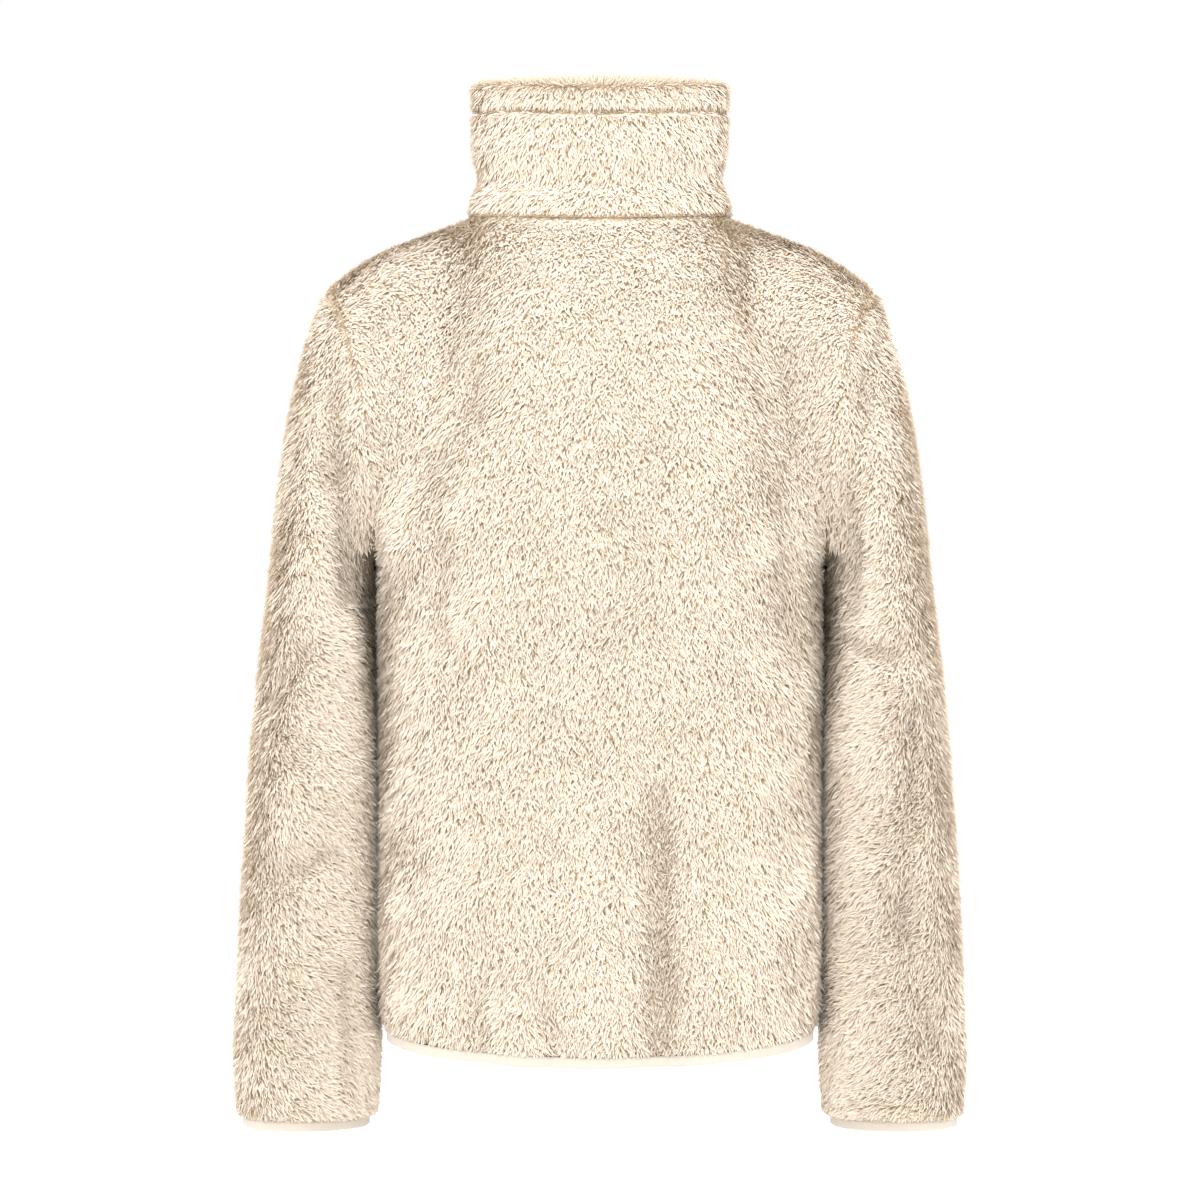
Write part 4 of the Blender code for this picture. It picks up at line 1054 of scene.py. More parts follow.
class Nap:
    """What one region of cloth gives its pile: a grid with its directions, its borders and its folds.

    seams are distances to the seams that part the pile, ends the distances down the nap to the
    edge where it has to stop, sideways how far the comb turns from down, as an angle, and away
    distances to an edge beside which it doesn't turn. lighter is added to the tone. Beside the
    crevice between sleeve and body, shaded darkens the locks as painted shadow, or lightens
    them as painted light where it is below zero, and fuller raises them. crown raises them along the
    collar's top edge.
    """

    def __init__(
        self, points, normals, down, depths, seams, ends, sideways,
        away=None, lighter=0.0, shaded=0.0, fuller=0.0, crown=0.0,
    ):
        away = np.full(points.shape[:2], 1.0) if away is None else away
        self.grids = points, normals, unit(down), depths, seams, ends, sideways, away
        self.lighter, self.shaded, self.fuller, self.crown = lighter, shaded, fuller, crown

    def part(self, columns):
        """The nap of some of the grid's columns, without what lightens, darkens with painted shadow or raises the
        locks.
        """
        return Nap(*(grid[:, columns] for grid in self.grids))


def in_crevice(points):
    """How deep places lie in the crevice between sleeve and body, and how much painted shadow falls there.

    The depth is a bell curve of the distance to the crevice's plane, faded in below its top. The
    painted shadow fades out downwards and comes back in a bell curve of the height, and its own bell
    curve across is wider where it is darker.
    """
    aside, height = np.abs(points[:, 0]) - CREVICE_X, points[:, 2]
    deep = bell(aside, CREVICE_WIDTH)
    deep *= clipped((CREVICE_TOP - height) / CREVICE_FADE)
    dark = clipped((height - CREVICE_DARK_END) / CREVICE_DARK_FADE)
    dark += CREVICE_DARK_LOW * bell(height - CREVICE_DARK_AGAIN, CREVICE_DARK_LOW_REACH)
    shadow = bell(aside, SHADOW_WIDTH + SHADOW_WIDENS * dark) * dark
    return deep, shadow * (height < CREVICE_TOP)


def locks(nap, settings, random, noise):
    """The points, faces and map of a region's locks.

    A lock is a folded kite: from a root on the ground to a tip near the pile's outside, with two
    shoulders on either side of its middle that lie lower than its ridge. The tip is the root plus
    the length along the comb plus the rise out of the cloth. The tone carries painted shade and
    painted light: it falls as painted shade with the square of a fold's depth and beside seams,
    rises as painted light on ridges, and rises as painted light with the square of how far the
    cloth faces sideways and with how far it faces up.
    """
    places = spread(nap.grids[0], settings.lock_density * 1e6, random)
    points, normals, down, depths, seams, ends, sideways, away = (sampled(grid, *places) for grid in nap.grids)
    normals = unit(normals)
    count = len(points)
    swirl, clump, patch, lift = (noise[key](points) for key in WAVES)
    beside = bell(seams, SEAM_DIP_REACH)
    crevice, shadow = in_crevice(points)
    facing_up = clipped(normals[:, 2])

    # Which way each lock is combed
    turn = sideways + settings.comb_swirl * swirl + settings.comb_clump * clump
    turn = (turn + random.normal(0, settings.comb_jitter, count)) * np.clip(away / EDGE_REACH, EDGE_COMB, 1)
    down = unit(down - np.sum(down * normals, axis=-1, keepdims=True) * normals)
    heading = np.cos(turn)[:, None] * down + np.sin(turn)[:, None] * np.cross(normals, down)
    side = np.cross(normals, heading)

    # How long, wide and high it is
    length = settings.lock_length * np.clip(random.normal(1, LENGTH_SPREAD, count), *LENGTH_LIMITS)
    length = length * (1 - SEAM_LESSENS * beside)
    length *= 1 + CREVICE_LENGTHENS * nap.fuller * crevice
    length = np.minimum(length, np.maximum(ends, 0) + random.uniform(*PAST_END, count))
    width = settings.lock_width * np.clip(random.normal(1, WIDTH_SPREAD, count), *WIDTH_LIMITS)
    rise = PILE_DEPTH * (1 + LIFT_WAVES * lift + random.normal(0, RISE_SPREAD, count))
    rise = np.clip(rise, *RISE_LIMITS) * (1 - SEAM_LESSENS * beside) * (1 + nap.fuller * crevice)
    rise *= 1 - LIES_FLAT * facing_up
    rise = np.minimum(rise, length * STEEPEST)
    crown = clipped(1 - (points[:, 0] / CROWN_HALF_WIDTH) ** 2) * clipped((points[:, 2] - CROWN_FROM) / CROWN_FADE)
    rise += nap.crown * crown * facing_up
    upright = normals.copy()
    upright[:, 1] += CREVICE_TURNS * nap.fuller * crevice * np.sign(normals[:, 1])
    upright = unit(upright)

    # Its four corners
    root = points - (PILE_DEPTH + SEAM_DIP * beside)[:, None] * normals
    tip = root + length[:, None] * heading + rise[:, None] * upright
    shoulder_rise = SHOULDER_UP * rise - SHOULDER_SAG * width
    waist = root + (SHOULDER_ALONG * length)[:, None] * heading + shoulder_rise[:, None] * upright
    half = (width / 2)[:, None] * side
    corners = np.stack((root, waist + half, tip, waist - half), axis=1)
    faces = np.arange(count)[:, None, None] * 4 + np.array(((0, 1, 2), (0, 2, 3)))

    # Its tone, with painted shade and painted light, and its place on the map
    # Painted shade in fold troughs and painted light on their ridges, by the square of the depth, and painted shade
    # beside seams
    trough = np.clip(depths / TROUGH_DEPTH, RIDGE_MOST, 1)
    tone = TONE + PATCH_TONES * patch + random.normal(0, TONE_SPREAD, count)
    tone = tone - TROUGH_SHADE * trough * np.abs(trough) - SEAM_SHADE * beside
    # Painted light: locks on cloth that faces sideways or up are lighter
    tone += PAINTED_LIGHT_TONE_ASIDE * normals[:, 0] ** 2 + PAINTED_LIGHT_TONE_UP * facing_up
    # Painted shadow on the sleeves' side of the crevice and painted light on the fronts' side
    tone += nap.lighter - nap.shaded * shadow
    band = np.clip(tone * PILE_TONES, 0, PILE_TONES - 1).astype(int)[:, None]
    across = (band + np.array((0.5, BAND_MARGIN, 0.5, 1 - BAND_MARGIN))) / PILE_TONES
    # Painted light: where the cloth faces up or sideways the roots lie higher up the map, so they are paler
    painted_light = clipped(facing_up + PAINTED_LIGHT_ROOTS_ASIDE * normals[:, 0] ** 2)[:, None]
    up = 1 - (1 - np.array(MAP_RISES)) * (1 - PAINTED_LIGHT_ROOTS * painted_light)
    return corners.reshape(-1, 3), faces.reshape(-1, 3), np.stack((across, up), axis=-1).reshape(-1, 2)


def pile_piece(name, nap, settings, number, finish):
    """The pile of one region, with draws of its own and the waves that all regions share."""
    random = np.random.default_rng(SEED + number)
    noise = {
        key: Waves(np.random.default_rng(SEED + 100 + k), wavelength)
        for k, (key, wavelength) in enumerate(WAVES.items())
    }
    points, faces, uv = locks(nap, settings, random, noise)
    mesh = mesh_of(name, points, faces)
    mesh.shade_flat()
    layer = mesh.uv_layers.new(name=PILE_MAP)
    layer.uv.foreach_set("vector", uv[faces.ravel()].astype(np.float32).ravel())
    placed(name, mesh, [finish])


def to_ends(points, axis):
    """Distances along a grid's lines to their first and to their last point."""
    first = arc_lengths(points, axis)
    last = first[-1:] - first if axis == 0 else first[:, -1:] - first
    return first, last


def evened(field, amount):
    """The field, each value moved part of the way to the mean of its neighbours in its row."""
    mean = (field[:, :-2] + field[:, 2:]) / 2
    moved = field.copy()
    moved[:, 1:-1] += EVENED_SHARE * amount[:, 1:-1] * (mean - field[:, 1:-1])
    return moved


def panel_nap(name, panel, fine):
    """The nap of a body panel: down its rows, parted by its seams, and full enough to round the neck's corner."""
    points, normals, depths = panel
    from_hem, from_top = to_ends(points, 0)
    corner = bell(np.abs(points[..., 0]) - NECK_POINT[0] - CORNER_OUT, CORNER_WIDTH)
    corner = (corner * clipped(1 + points[..., 2] / CORNER_DOWN) * clipped(from_top / CORNER_FADE))[..., None]
    for _ in range(CORNER_ROUNDS):
        points, normals = evened(points, corner), unit(evened(normals, corner))
    from_first, from_last = to_ends(points, 1)
    beside = ARMHOLE_SEAM_SLIGHTNESS * (from_last if name != "back" else np.minimum(from_first, from_last))
    shoulder = SHOULDER_FACES * fine
    from_top = np.array(from_top) * NECK_SEAM_SLIGHTNESS
    from_top[:, -shoulder:] *= SHOULDER_SEAM_SLIGHTNESS
    if name == "back":
        from_top[:, :shoulder] *= SHOULDER_SEAM_SLIGHTNESS
    seams = np.minimum(beside, from_top)
    rise = np.linspace(0, 1, points.shape[0])[:, None]
    lean = np.clip(points[..., 0] / COMB_HALF_WIDTH, -1, 1)
    shoulders = clipped(np.abs(points[..., 0]) / SHOULDERS_REACH - SHOULDERS_FROM)
    shoulders = shoulders * clipped(1 + points[..., 2] / SHOULDERS_REACH)
    sideways = lean * (COMB_OUT * (COMB_OUT_LOW + rise) + COMB_SHOULDERS * shoulders)
    if name != "back":
        sideways = -sideways
    away = from_first if name != "back" else None
    down = -np.gradient(points, axis=0)
    return Nap(points, normals, down, depths, seams, from_hem, sideways, away, **FRONT_EDGE)


def sleeve_nap(shape, side):
    """The nap of a sleeve: down and outwards over its back and front, parted by the armhole seam."""
    points, normals, depths = (np.concatenate((f, f[:, :1]), axis=1) for f in shape)
    from_armhole, from_cuff = to_ends(points, 0)
    turn = np.linspace(0, 2 * math.pi, points.shape[1])[None, :]
    lower = clipped(from_armhole / SLEEVE_COMB_REACH)
    sideways = side * np.sin(turn) * (SLEEVE_COMB + SLEEVE_COMB_LOWER * lower)
    down = np.gradient(points, axis=0)
    seams = ARMHOLE_SEAM_SLIGHTNESS * from_armhole
    return Nap(points, normals, down, depths, seams, from_cuff, sideways, **SLEEVE_EDGE)


def collar_nap(neck, fine):
    """The nap of the collar's outside, its top edge and the facing inside it."""
    loop, directions, heights, inner_side = collar_loop(neck, fine)
    kept = (inner_side < 1) | (heights > FACING_RISE)
    loop, directions, heights = loop[kept], directions[kept], heights[kept]
    outer = inner_side[kept] == 0
    from_seam, _ = to_ends(loop, 0)
    from_left, from_right = to_ends(loop, 1)
    to_stitches = np.where(outer, np.abs(heights - FACING_RISE), 1)[:, None] * STITCHES_SLIGHTNESS
    seams = np.minimum(NECK_SEAM_SLIGHTNESS * from_seam, to_stitches)
    depths = np.zeros(loop.shape[:2])
    away = np.minimum(from_left, from_right)
    sway = np.sin(np.linspace(-COLLAR_SWAY, COLLAR_SWAY, loop.shape[1]))
    sideways = COLLAR_COMB * sway[None, :] + depths
    down = -np.gradient(loop, axis=0)
    return Nap(loop, directions, down, depths, seams, from_seam, sideways, away, **COLLAR_EDGE)


# Bindings


def binding_profile():
    """The strip's section, folded over the cloth's edge, as insets and drops: out and back in a U."""
    outer, inner, top, low, radius, thick = 0.0018, 0.0074, 0.0003, BINDING_HEIGHT, 0.0017, 0.0008
    turn = np.linspace(0, math.pi / 2, 5)
    down = np.linspace(top, low - radius, 4)[:-1]

    def path(inwards):
        """Down the outer leg, round two quarter circles and up the inner leg, drawn in by a thickness."""
        r = radius - inwards
        left = np.stack((np.full(3, outer + inwards), down), axis=-1)
        corner = np.stack(
            (outer + radius - r * np.cos(turn), low - radius + r * np.sin(turn)), axis=-1
        )
        half = np.concatenate((left, corner))
        other = half[::-1] * np.array((-1, 1)) + np.array((outer + inner, 0))
        return np.concatenate((half, other))

    return np.concatenate((path(0.0), path(thick)[::-1]))


def binding_piece(name, node, edge, out, around, finish):
    """The binding's section carried along an edge, with faint puckers: insets that go in and out."""
    profile = binding_profile()
    steps = arc_lengths(edge[None], 1)[0]
    pucker = sum(depth * np.sin(steps * 2 * math.pi / apart) for depth, apart in PUCKERS)
    inset = profile[None, :, 0] + pucker[:, None]
    rings = edge[:, None] - inset[..., None] * out[:, None]
    rings[..., 2] -= profile[:, 1]
    mesh = mesh_of(name, *tube(rings, around))
    cloth_map(mesh, np.repeat(steps[:, None], len(profile), axis=1), arc_lengths(rings, 1))
    placed(name, mesh, [finish], node)


# Zip


def zip_lines(panels, neck, side):
    """The front's and the collar's inside beside the zip, as two columns, and their directions out."""
    points, normals, _ = panels["front_" + ENDS[side]]
    ring_points, ring_normals, rises = neck
    ring_points, ring_normals = ring_points[:, ::side], ring_normals[:, ::side]
    out = np.concatenate((normals[:-1, :2], ring_normals[:, :2]))
    thickness = np.concatenate((np.full(len(normals) - 1, WALL), collar_thickness(rises)))
    outside = np.concatenate((points[:-1, :2], ring_points[:, :2]))
    return outside - thickness[:, None, None] * out, np.repeat(out[:, :1], 2, axis=1)


def at_reach(inside, side, reach):
    """Points of the inside at a distance from the zip's middle line."""
    width = (inside[:, 1, 0] - inside[:, 0, 0])[:, None]
    part = (side * reach - inside[:, 0, :1]) / width
    return inside[:, 0] + part * (inside[:, 1] - inside[:, 0])


def tape_piece(panels, neck, side, finish):
    """A woven tape: a thin shell from its beaded inner edge to its outer edge."""
    name = "zip_tape_" + ENDS[side]
    inside, out = zip_lines(panels, neck, side)
    reaches, bead = np.array(TAPE_SECTION).T
    front = np.stack([at_reach(inside, side, reach) for reach in reaches], axis=1)
    lay = SEAM_GAP - bead
    front = front - lay[None, :, None] * out[:, :1]
    back = front - (TAPE_THICKNESS + bead)[None, :, None] * out[:, :1]
    mesh = mapped_shell(name, front, back, False)
    mesh.polygons.foreach_set("material_index", np.zeros(len(mesh.polygons), np.int32))
    placed(name + "_woven", mesh, [finish], name)


def middle_line(panels, neck):
    """The chain's middle line between the two tapes, with its directions out of the front."""
    inside, out = zip_lines(panels, neck, LEFT)
    line = at_reach(inside, LEFT, TAPE_INNER) - (SEAM_GAP + TAPE_THICKNESS / 2) * out[:, 0]
    line[:, 0] = 0
    return line, unit(out[:, 0] * np.array((0, 1, 1)))


def slider_frame(line):
    """The slider's middle and its two directions: up along the zip and out of the front."""
    middle = line[-1, 2] - SLIDER_BELOW_TOP
    ends = [
        np.array([np.interp(middle + step, line[:, 2], line[:, k]) for k in range(3)])
        for step in (-SLIDER_LENGTH / 2, SLIDER_LENGTH / 2)
    ]
    up = unit(ends[1] - ends[0])
    return (ends[0] + ends[1]) / 2, up, np.array((0, -up[2], up[1]))


def teeth_piece(line, out, finish):
    """The closed teeth: one moulded block after another from either side, each with a rounded head.

    A tooth is a tube of sections from its foot on the tape to its head past the middle: the
    section is a rounded box whose height and thickness follow a table along the tooth.
    """
    centre, _, _ = slider_frame(line)
    steps = arc_lengths(line[None], 1)[0]
    last = np.interp(centre[2] - SLIDER_LENGTH / 2 + TEETH_IN_SLIDER, line[:, 2], steps)
    places = np.arange(FIRST_TOOTH, last, TOOTH_PITCH / 2)
    spot = np.stack([np.interp(places, steps, line[:, k]) for k in range(3)], axis=-1)
    facing = unit(np.stack([np.interp(places, steps, out[:, k]) for k in range(3)], axis=-1))
    up = unit(np.stack([np.interp(places, steps, np.gradient(line[:, k])) for k in range(3)], axis=-1))
    side = np.where(np.arange(len(places)) % 2, 1.0, -1.0)
    section = np.array(((1, -0.6), (1, 0.6), (0.6, 1), (-0.6, 1), (-1, 0.6), (-1, -0.6), (-0.6, -1), (0.6, -1)))
    # across from the middle, half height, half thickness
    shape = np.array(
        (
            (0.00278, 0.00040, 0.00085),
            (0.00262, 0.00062, 0.00125),
            (0.00120, 0.00062, 0.00139),
            (0.00010, 0.00050, 0.00132),
            (-0.00060, 0.00066, 0.00120),
            (-0.00098, 0.00036, 0.00080),
        )
    )
    local = np.empty((len(shape), len(section), 3))
    local[..., 0] = shape[:, 0, None]
    local[..., 1] = shape[:, 1, None] * section[None, :, 0]
    local[..., 2] = shape[:, 2, None] * section[None, :, 1]
    flat = local.reshape(-1, 3)
    points = (
        spot[:, None]
        + (side[:, None] * flat[None, :, 0])[..., None] * np.array((1.0, 0, 0))
        + flat[None, :, 1, None] * up[:, None]
        + flat[None, :, 2, None] * facing[:, None]
    )
    faces, index = grid_faces(len(shape), len(section), True)
    caps = [
        ring[list(corners)][::step]
        for corners in ((0, 1, 2, 3), (4, 5, 6, 7), (0, 3, 4, 7))
        for ring, step in ((index[0], 1), (index[-1], -1))
    ]
    one = np.concatenate((faces, caps))
    both = [turned_out(stacked(way * flat[:, 0], -flat[:, 2], flat[:, 1]), one) for way in (1, -1)]
    faces = np.stack(both)[np.where(side > 0, 0, 1)] + (np.arange(len(places)) * len(flat))[:, None, None]
    mesh = mesh_of("zip_teeth", points.reshape(-1, 3), faces.reshape(-1, 4))
    mesh.shade_flat()
    placed("zip_teeth", mesh, [finish], "zip_chain")


def rounded_outline(half_widths, count):
    """A closed outline round a table of heights and half widths, with rounded ends, as x, z points."""
    table = np.array(half_widths)
    heights = np.interp(
        (1 - np.cos(np.linspace(0, math.pi, count))) / 2, (0, 1), (table[0, 0], table[-1, 0])
    )
    half = np.interp(heights, table[:, 0], table[:, 1])
    right = np.stack((half, heights), axis=-1)
    left = right[::-1] * np.array((-1, 1))
    return np.concatenate((right, left))


def levelled(rings):
    """Rings in space of pairs of a closed outline, as x, z points, and its level along y."""
    return np.stack([stacked(ring[:, 0], level, ring[:, 1]) for ring, level in rings])


def plate_rings(outline, low, high, bevel):
    """Rings up a bevelled plate: the outline drawn in at both faces by the bevel."""
    middle = outline.mean(axis=0)
    drawn = middle + (outline - middle) * (1 - bevel / np.abs(outline - middle).max(axis=0))
    return levelled(((drawn, low), (outline, low + bevel), (outline, high - bevel), (drawn, high)))


def joined(parts):
    """Points and faces of several closed parts, as one."""
    starts = np.cumsum([0] + [len(points) for points, _ in parts])
    points = np.concatenate([points for points, _ in parts])
    return points, np.concatenate([faces + start for (_, faces), start in zip(parts, starts)])


def in_frame(points, place):
    """Points from the slider's own frame, with x across, y away from the front and z up the zip."""
    centre, up, facing = place
    return centre + points[:, :1] * np.array((1.0, 0, 0)) - points[:, 1:2] * facing + points[:, 2:] * up


def arch_rings(skin):
    """The arch: a bar with a rounded section, carried over in half an oval from foot to foot."""
    turn = np.linspace(0, math.pi, 17)
    round_turn = np.linspace(0, 2 * math.pi, 12, endpoint=False)
    thick = ARCH_METAL / 2
    along_z = -(ARCH_HALF_LENGTH - thick) * signed_power(np.cos(turn), 0.7)
    out_y = -(skin - ARCH_FOOT) - (ARCH_CLEARANCE + ARCH_METAL - thick + ARCH_FOOT) * signed_power(np.sin(turn), 0.55)
    line = np.stack((along_z, out_y), axis=-1)
    tangent = unit(np.gradient(line, axis=0))
    offset = thick * signed_power(np.sin(round_turn), 0.7)
    return stacked(
        ARCH_WIDTH / 2 * signed_power(np.cos(round_turn), 0.7),
        line[:, 1:] - tangent[:, :1] * offset,
        line[:, :1] + tangent[:, 1:] * offset,
    )


def slider_piece(place, finish):
    """Two tapered, bevelled plates, a post between them, and an arch for the pull tab."""
    length = SLIDER_LENGTH / 2
    face = CHAIN_THICKNESS / 2 + SLIDER_CLEARANCE
    skin = face + SLIDER_PLATE
    outline = rounded_outline(
        (
            # height, half width
            (-length, 0.0024),
            (-length + 0.0008, 0.0033),
            (-0.0010, 0.0036),
            (0.0030, 0.0042),
            (length - 0.0016, 0.0042),
            (length - 0.0004, 0.0030),
            (length, 0.0018),
        ),
        18,
    )
    parts = [tube(plate_rings(outline, low, high, 0.00035)) for low, high in ((-skin, -face), (face, skin))]
    post = rounded_outline(((0.0028, 0.0006), (0.0034, 0.0012), (0.0052, 0.0012), (0.0058, 0.0006)), 8)
    parts.append(tube(plate_rings(post, -face - 0.0004, face + 0.0004, 0.0001)))
    parts.append(tube(arch_rings(skin)))
    points, faces = joined(parts)
    mesh = mesh_of("zip_slider_body", in_frame(points, place), faces)
    mesh.set_sharp_from_angle(angle=SHARP_ANGLE)
    placed("zip_slider_body", mesh, [finish], "zip_slider")


def tab_piece(place, finish):
    """The pull tab: a plate with a hole, its section carried round from the outline to the hole."""
    skin = CHAIN_THICKNESS / 2 + SLIDER_CLEARANCE + SLIDER_PLATE
    outer = rounded_outline(
        (
            # height, half width
            (-TAB_LENGTH, 0.0013),
            (-TAB_LENGTH + 0.0004, 0.0020),
            (-TAB_LENGTH + 0.0012, TAB_TIP_WIDTH / 2),
            (-TAB_NECK_LENGTH - 0.004, TAB_TIP_WIDTH / 2 + 0.0001),
            (-TAB_NECK_LENGTH, TAB_WIDTH / 2),
            (TAB_BAR / 2 - 0.0007, TAB_WIDTH / 2),
            (TAB_BAR / 2, TAB_WIDTH / 2 - 0.0007),
        ),
        26,
    )
    middle = np.array((0, -(TAB_BAR / 2 + TAB_HOLE_LENGTH) / 2))
    away = outer - middle
    angle = np.arctan2(away[:, 0], away[:, 1])
    hole = middle + np.stack(
        (
            TAB_HOLE_WIDTH / 2 * signed_power(np.sin(angle), 0.6),
            (TAB_HOLE_LENGTH - TAB_BAR / 2) / 2 * signed_power(np.cos(angle), 0.6),
        ),
        axis=-1,
    )
    half, bevel = TAB_THICKNESS / 2, 0.0003
    share_in = bevel / np.linalg.norm(outer - hole, axis=-1, keepdims=True)
    near_outer, near_hole = outer + (hole - outer) * share_in, hole + (outer - hole) * share_in
    section = (
        (outer, -half + bevel),
        (near_outer, -half),
        (near_hole, -half),
        (hole, -half + bevel),
        (hole, half - bevel),
        (near_hole, half),
        (near_outer, half),
        (outer, half - bevel),
    )
    rings = levelled(section).swapaxes(0, 1)
    points, faces = tube(rings, True)
    mesh = mesh_of("zip_pull", in_frame(points + np.array((0, -skin - ARCH_CLEARANCE / 2, 0)), place), faces)
    mesh.set_sharp_from_angle(angle=SHARP_ANGLE)
    placed("zip_pull", mesh, [finish], "zip_pull_tab", "pull_tab")


# The add-on


FLOOR_RADIUS, FLOOR_HEIGHT, FLOOR_CORNERS = 60, -0.95, 64
LENS, SENSOR, CAMERA_PLACE = 120, 36, (0, 3.0, -0.28875)
LIGHTS_AIM = (0, 0, -0.3)
LIGHTS = (
    # name, place, width, power
    ("back_key", (0.4, 3.2, 0.5), 1.4, 47.0),
    ("front_key", (-0.4, -3.2, 0.5), 1.4, 47.0),
    ("left_key", (2.5, 0.9, 0.5), 1.2, 32.0),
    ("right_key", (-2.5, 0.9, 0.5), 1.2, 32.0),
    ("top_key", (0.0, 1.1, 2.1), 1.2, 52.0),
)


class JacketSettings(bpy.types.PropertyGroup):
    """Sizes and colours that a user would change."""

    lock_length: bpy.props.FloatProperty(
        name="Lock length", description="Length of a lock of pile", default=0.0062, min=0.002, unit="LENGTH"
    )
    lock_width: bpy.props.FloatProperty(
        name="Lock width", description="Width of a lock at its widest", default=0.0017, min=0.0005, unit="LENGTH"
    )
    lock_density: bpy.props.FloatProperty(
        name="Lock density", description="Locks on each square millimetre of cloth", default=0.42, min=0.05, max=0.5
    )
    comb_swirl: bpy.props.FloatProperty(
        name="Swirl", description="How far the comb wanders from patch to patch", default=0.36, subtype="ANGLE"
    )
    comb_clump: bpy.props.FloatProperty(
        name="Clumps", description="How far neighbouring clumps turn apart", default=0.46, subtype="ANGLE"
    )
    comb_jitter: bpy.props.FloatProperty(
        name="Jitter", description="How far single locks turn from their clump", default=0.38, subtype="ANGLE"
    )
    pile_tip: bpy.props.FloatVectorProperty(
        name="Pile tips", description="Colour of the pile's tips", default=(0.85, 0.75, 0.635), subtype="COLOR"
    )
    # The middle and root colours are painted shade that darkens each lock towards its root
    pile_middle: bpy.props.FloatVectorProperty(
        name="Pile middle", description="Colour half way down a lock", default=(0.765, 0.64, 0.49), subtype="COLOR"
    )
    pile_root_shade: bpy.props.FloatVectorProperty(
        name="Pile roots", description="Colour of the pile's roots", default=(0.42, 0.32, 0.20), subtype="COLOR"
    )
    # The darkest locks' colour, which painted shade in folds, seams, partings and the crevice also mixes towards
    pile_shade: bpy.props.FloatVectorProperty(
        name="Pile shade", description="Colour of the darkest locks", default=(0.16, 0.12, 0.07), subtype="COLOR"
    )
    reverse: bpy.props.FloatVectorProperty(
        name="Reverse", description="Colour of the cloth's inside", default=(0.82, 0.72, 0.58), subtype="COLOR"
    )
    binding: bpy.props.FloatVectorProperty(
        name="Binding", description="Colour of the bindings", default=(0.53, 0.475, 0.405), subtype="COLOR"
    )
    tape: bpy.props.FloatVectorProperty(
        name="Zip tape", description="Colour of the woven tape", default=(0.80, 0.71, 0.58), subtype="COLOR"
    )
    teeth: bpy.props.FloatVectorProperty(
        name="Zip teeth", description="Colour of the moulded teeth", default=(0.84, 0.77, 0.66), subtype="COLOR"
    )
    metal: bpy.props.FloatVectorProperty(
        name="Zip metal", description="Colour of the slider and its tab", default=(0.40, 0.385, 0.365), subtype="COLOR"
    )


class JACKET_OT_cloth(bpy.types.Operator):
    """Knitted shells of the back, fronts, sleeves and collar, from the roots of the pile to the inside"""

    bl_idname = "jacket.cloth"
    bl_label = "Cloth"

    def execute(self, context):
        settings = context.scene.jacket
        panels, sleeves, neck = garment(CLOTH_FINENESS)
        ground, reverse = ground_material(settings), reverse_material(settings)
        finishes = [ground, reverse, reverse]
        for node, panel in panels.items():
            cloth_shell(node, panel, False, finishes)
        for side, end in ENDS.items():
            cloth_shell("sleeve_" + end, sleeves[side], True, finishes)
        collar_shell(neck, CLOTH_FINENESS, finishes)
        return {"FINISHED"}


class JACKET_OT_pile(bpy.types.Operator):
    """The long combed pile, lock by lock, on every cloth piece"""

    bl_idname = "jacket.pile"
    bl_label = "Pile"

    def execute(self, context):
        settings = context.scene.jacket
        finish = pile_material(settings)
        panels, sleeves, neck = garment(PILE_FINENESS)
        middle = HALF_FACES * PILE_FINENESS
        nap = panel_nap("back", panels["back"], PILE_FINENESS)
        made = {}
        for name, columns in (("back_right", slice(0, middle + 1)), ("back_left", slice(middle, None))):
            made[name] = nap.part(columns)
        for name in ("front_left", "front_right"):
            made[name] = panel_nap(name, panels[name], PILE_FINENESS)
        for side, end in ENDS.items():
            made["sleeve_" + end] = sleeve_nap(sleeves[side], side)
        made["collar"] = collar_nap(neck, PILE_FINENESS)
        for number, (name, region) in enumerate(made.items()):
            pile_piece("pile_" + name, region, settings, number, finish)
        return {"FINISHED"}


class JACKET_OT_bindings(bpy.types.Operator):
    """Smooth knitted strips folded over the hem and the cuffs"""

    bl_idname = "jacket.bindings"
    bl_label = "Bindings"

    def execute(self, context):
        finish = binding_material(context.scene.jacket)
        panels, sleeves, _ = garment(PILE_FINENESS)
        order = (
            ("front_left", slice(None)),
            ("back", slice(-2, 0, -1)),
            ("front_right", slice(None, None, -1)),
        )
        edge = np.concatenate([panels[name][0][0, columns] for name, columns in order])
        out = np.concatenate([panels[name][1][0, columns] for name, columns in order])
        binding_piece("hem_strip", "hem_binding", edge, out, False, finish)
        for side, end in ENDS.items():
            points, normals, _ = sleeves[side]
            edge, out = points[-1] - CUFF_DRAW_IN * normals[-1], normals[-1]
            binding_piece("cuff_strip_" + end, "cuff_binding_" + end, edge, out, True, finish)
        return {"FINISHED"}


class JACKET_OT_zip_tapes(bpy.types.Operator):
    """The two woven tapes of the zip"""

    bl_idname = "jacket.zip_tapes"
    bl_label = "Zip tapes"

    def execute(self, context):
        finish = tape_material(context.scene.jacket)
        panels, _, neck = garment(1)
        for side in ENDS:
            tape_piece(panels, neck, side, finish)
        return {"FINISHED"}


class JACKET_OT_zip_teeth(bpy.types.Operator):
    """The closed, moulded teeth"""

    bl_idname = "jacket.zip_teeth"
    bl_label = "Zip teeth"

    def execute(self, context):
        panels, _, neck = garment(1)
        line, out = middle_line(panels, neck)
        teeth_piece(line, out, teeth_material(context.scene.jacket))
        return {"FINISHED"}


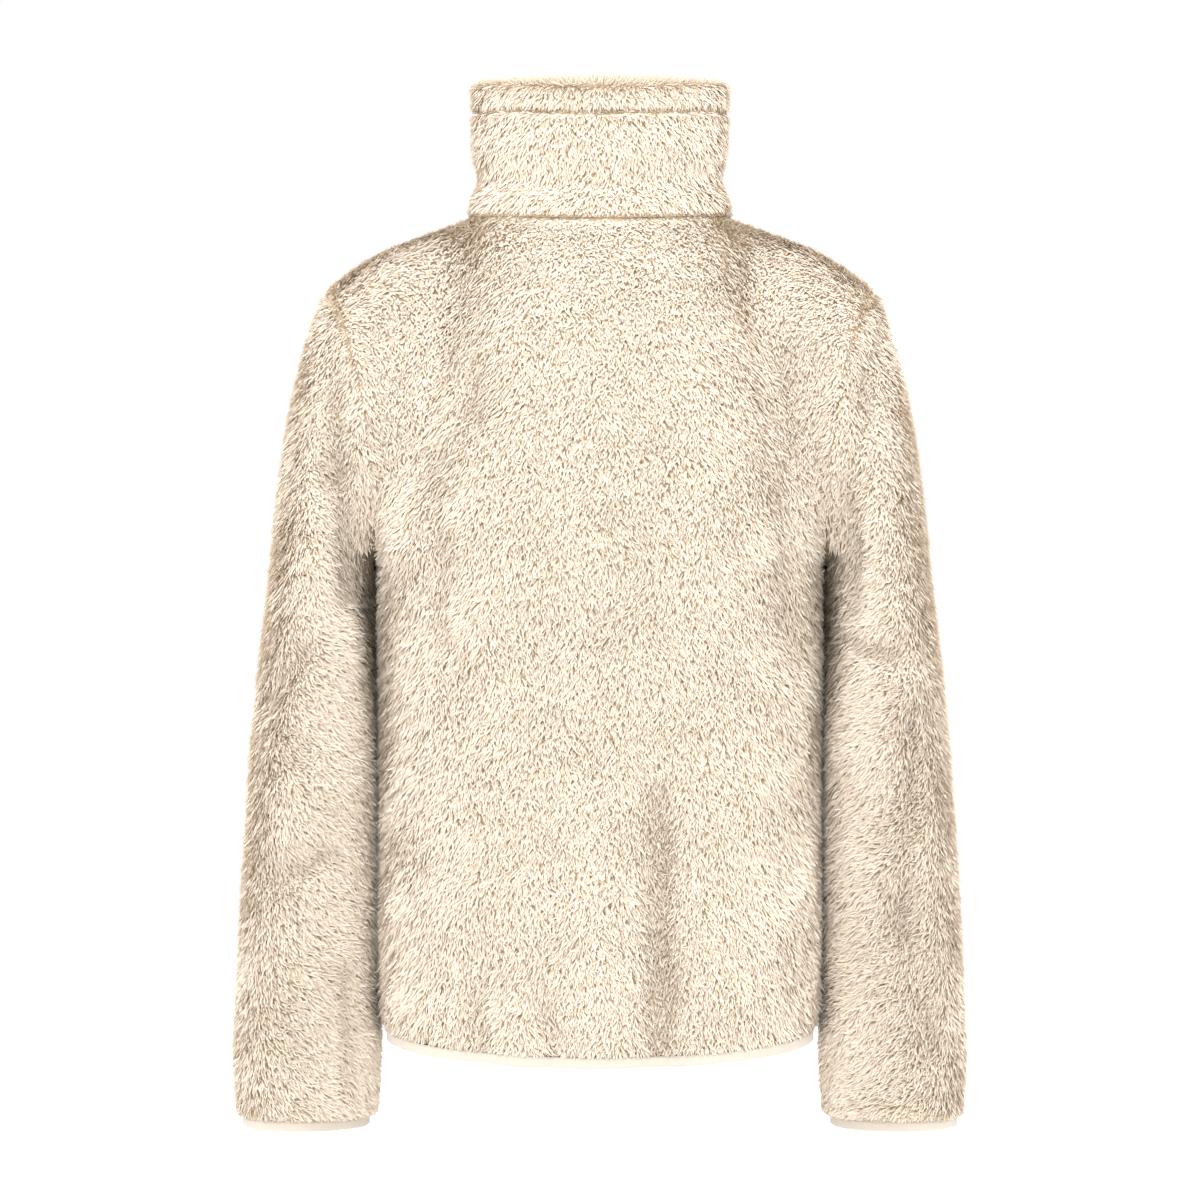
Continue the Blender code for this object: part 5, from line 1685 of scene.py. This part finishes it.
class JACKET_OT_zip_slider(bpy.types.Operator):
    """The slider and its pull tab"""

    bl_idname = "jacket.zip_slider"
    bl_label = "Slider and pull tab"

    def execute(self, context):
        settings = context.scene.jacket
        panels, _, neck = garment(1)
        line, _ = middle_line(panels, neck)
        place = slider_frame(line)
        slider_piece(place, metal_material(settings, "slider_metal"))
        tab_piece(place, metal_material(settings, "pull_tab_metal"))
        return {"FINISHED"}


class JACKET_OT_stage(bpy.types.Operator):
    """A plain white floor, soft studio light, and the camera straight behind the jacket"""

    bl_idname = "jacket.stage"
    bl_label = "Stage"

    def execute(self, context):
        scene = context.scene
        scene.view_settings.view_transform = "Standard"
        turn = np.linspace(0, 2 * math.pi, FLOOR_CORNERS, endpoint=False)
        corners = stacked(FLOOR_RADIUS * np.cos(turn), FLOOR_RADIUS * np.sin(turn), FLOOR_HEIGHT)
        mesh = bpy.data.meshes.new("floor")
        mesh.from_pydata(corners.tolist(), [], [tuple(range(FLOOR_CORNERS))])
        net = Net("floor", Roughness=0.9, Specular_IOR_Level=0.0, Emission_Color=(1, 1, 1, 1), Emission_Strength=0.08)
        mesh.materials.append(net.finish(rgba((0.95, 0.95, 0.95))))
        floor = bpy.data.objects.new("floor", mesh)
        scene.collection.objects.link(floor)
        world = bpy.data.worlds.new("studio")
        world.use_nodes = True
        for key, value in (("Color", (1, 1, 1, 1)), ("Strength", 1.0)):
            world.node_tree.nodes["Background"].inputs[key].default_value = value
        scene.world = world
        for name, place, size, power in LIGHTS:
            light = bpy.data.lights.new(name, "AREA")
            light.shape, light.size, light.energy = "DISK", size, power
            lamp = bpy.data.objects.new(name, light)
            lamp.location = place
            aim = np.array(LIGHTS_AIM) - np.array(place)
            lamp.rotation_mode = "QUATERNION"
            lamp.rotation_quaternion = Vector(aim).to_track_quat("-Z", "Y")
            scene.collection.objects.link(lamp)
        lens = bpy.data.cameras.new("camera")
        lens.lens, lens.sensor_width = LENS, SENSOR
        camera = bpy.data.objects.new("camera", lens)
        camera.location = CAMERA_PLACE
        camera.rotation_euler = (math.pi / 2, 0, math.pi)
        scene.collection.objects.link(camera)
        scene.camera = camera
        return {"FINISHED"}


class JACKET_PT_panel(bpy.types.Panel):
    """The jacket's sizes, colours and steps"""

    bl_idname = "JACKET_PT_panel"
    bl_label = "Fleece jacket"
    bl_space_type = "VIEW_3D"
    bl_region_type = "UI"
    bl_category = "Jacket"

    def draw(self, context):
        for key in JacketSettings.__annotations__:
            self.layout.prop(context.scene.jacket, key)
        for operator in OPERATORS:
            self.layout.operator(operator.bl_idname)


OPERATORS = (
    JACKET_OT_stage,
    JACKET_OT_pile,
    JACKET_OT_cloth,
    JACKET_OT_bindings,
    JACKET_OT_zip_tapes,
    JACKET_OT_zip_teeth,
    JACKET_OT_zip_slider,
)


def register():
    """Adds the settings, the operators and the panel to Blender."""
    for made in (JacketSettings, *OPERATORS, JACKET_PT_panel):
        bpy.utils.register_class(made)
    bpy.types.Scene.jacket = bpy.props.PointerProperty(type=JacketSettings)


def unregister():
    """Takes them out again, the last one first."""
    del bpy.types.Scene.jacket
    for made in (JACKET_PT_panel, *reversed(OPERATORS), JacketSettings):
        bpy.utils.unregister_class(made)


def main():
    """Builds the stage and every piece."""
    register()
    bpy.ops.jacket.stage()
    bpy.ops.jacket.pile()
    bpy.ops.jacket.cloth()
    bpy.ops.jacket.bindings()
    bpy.ops.jacket.zip_tapes()
    bpy.ops.jacket.zip_teeth()
    bpy.ops.jacket.zip_slider()


if __name__ == "__main__":
    main()
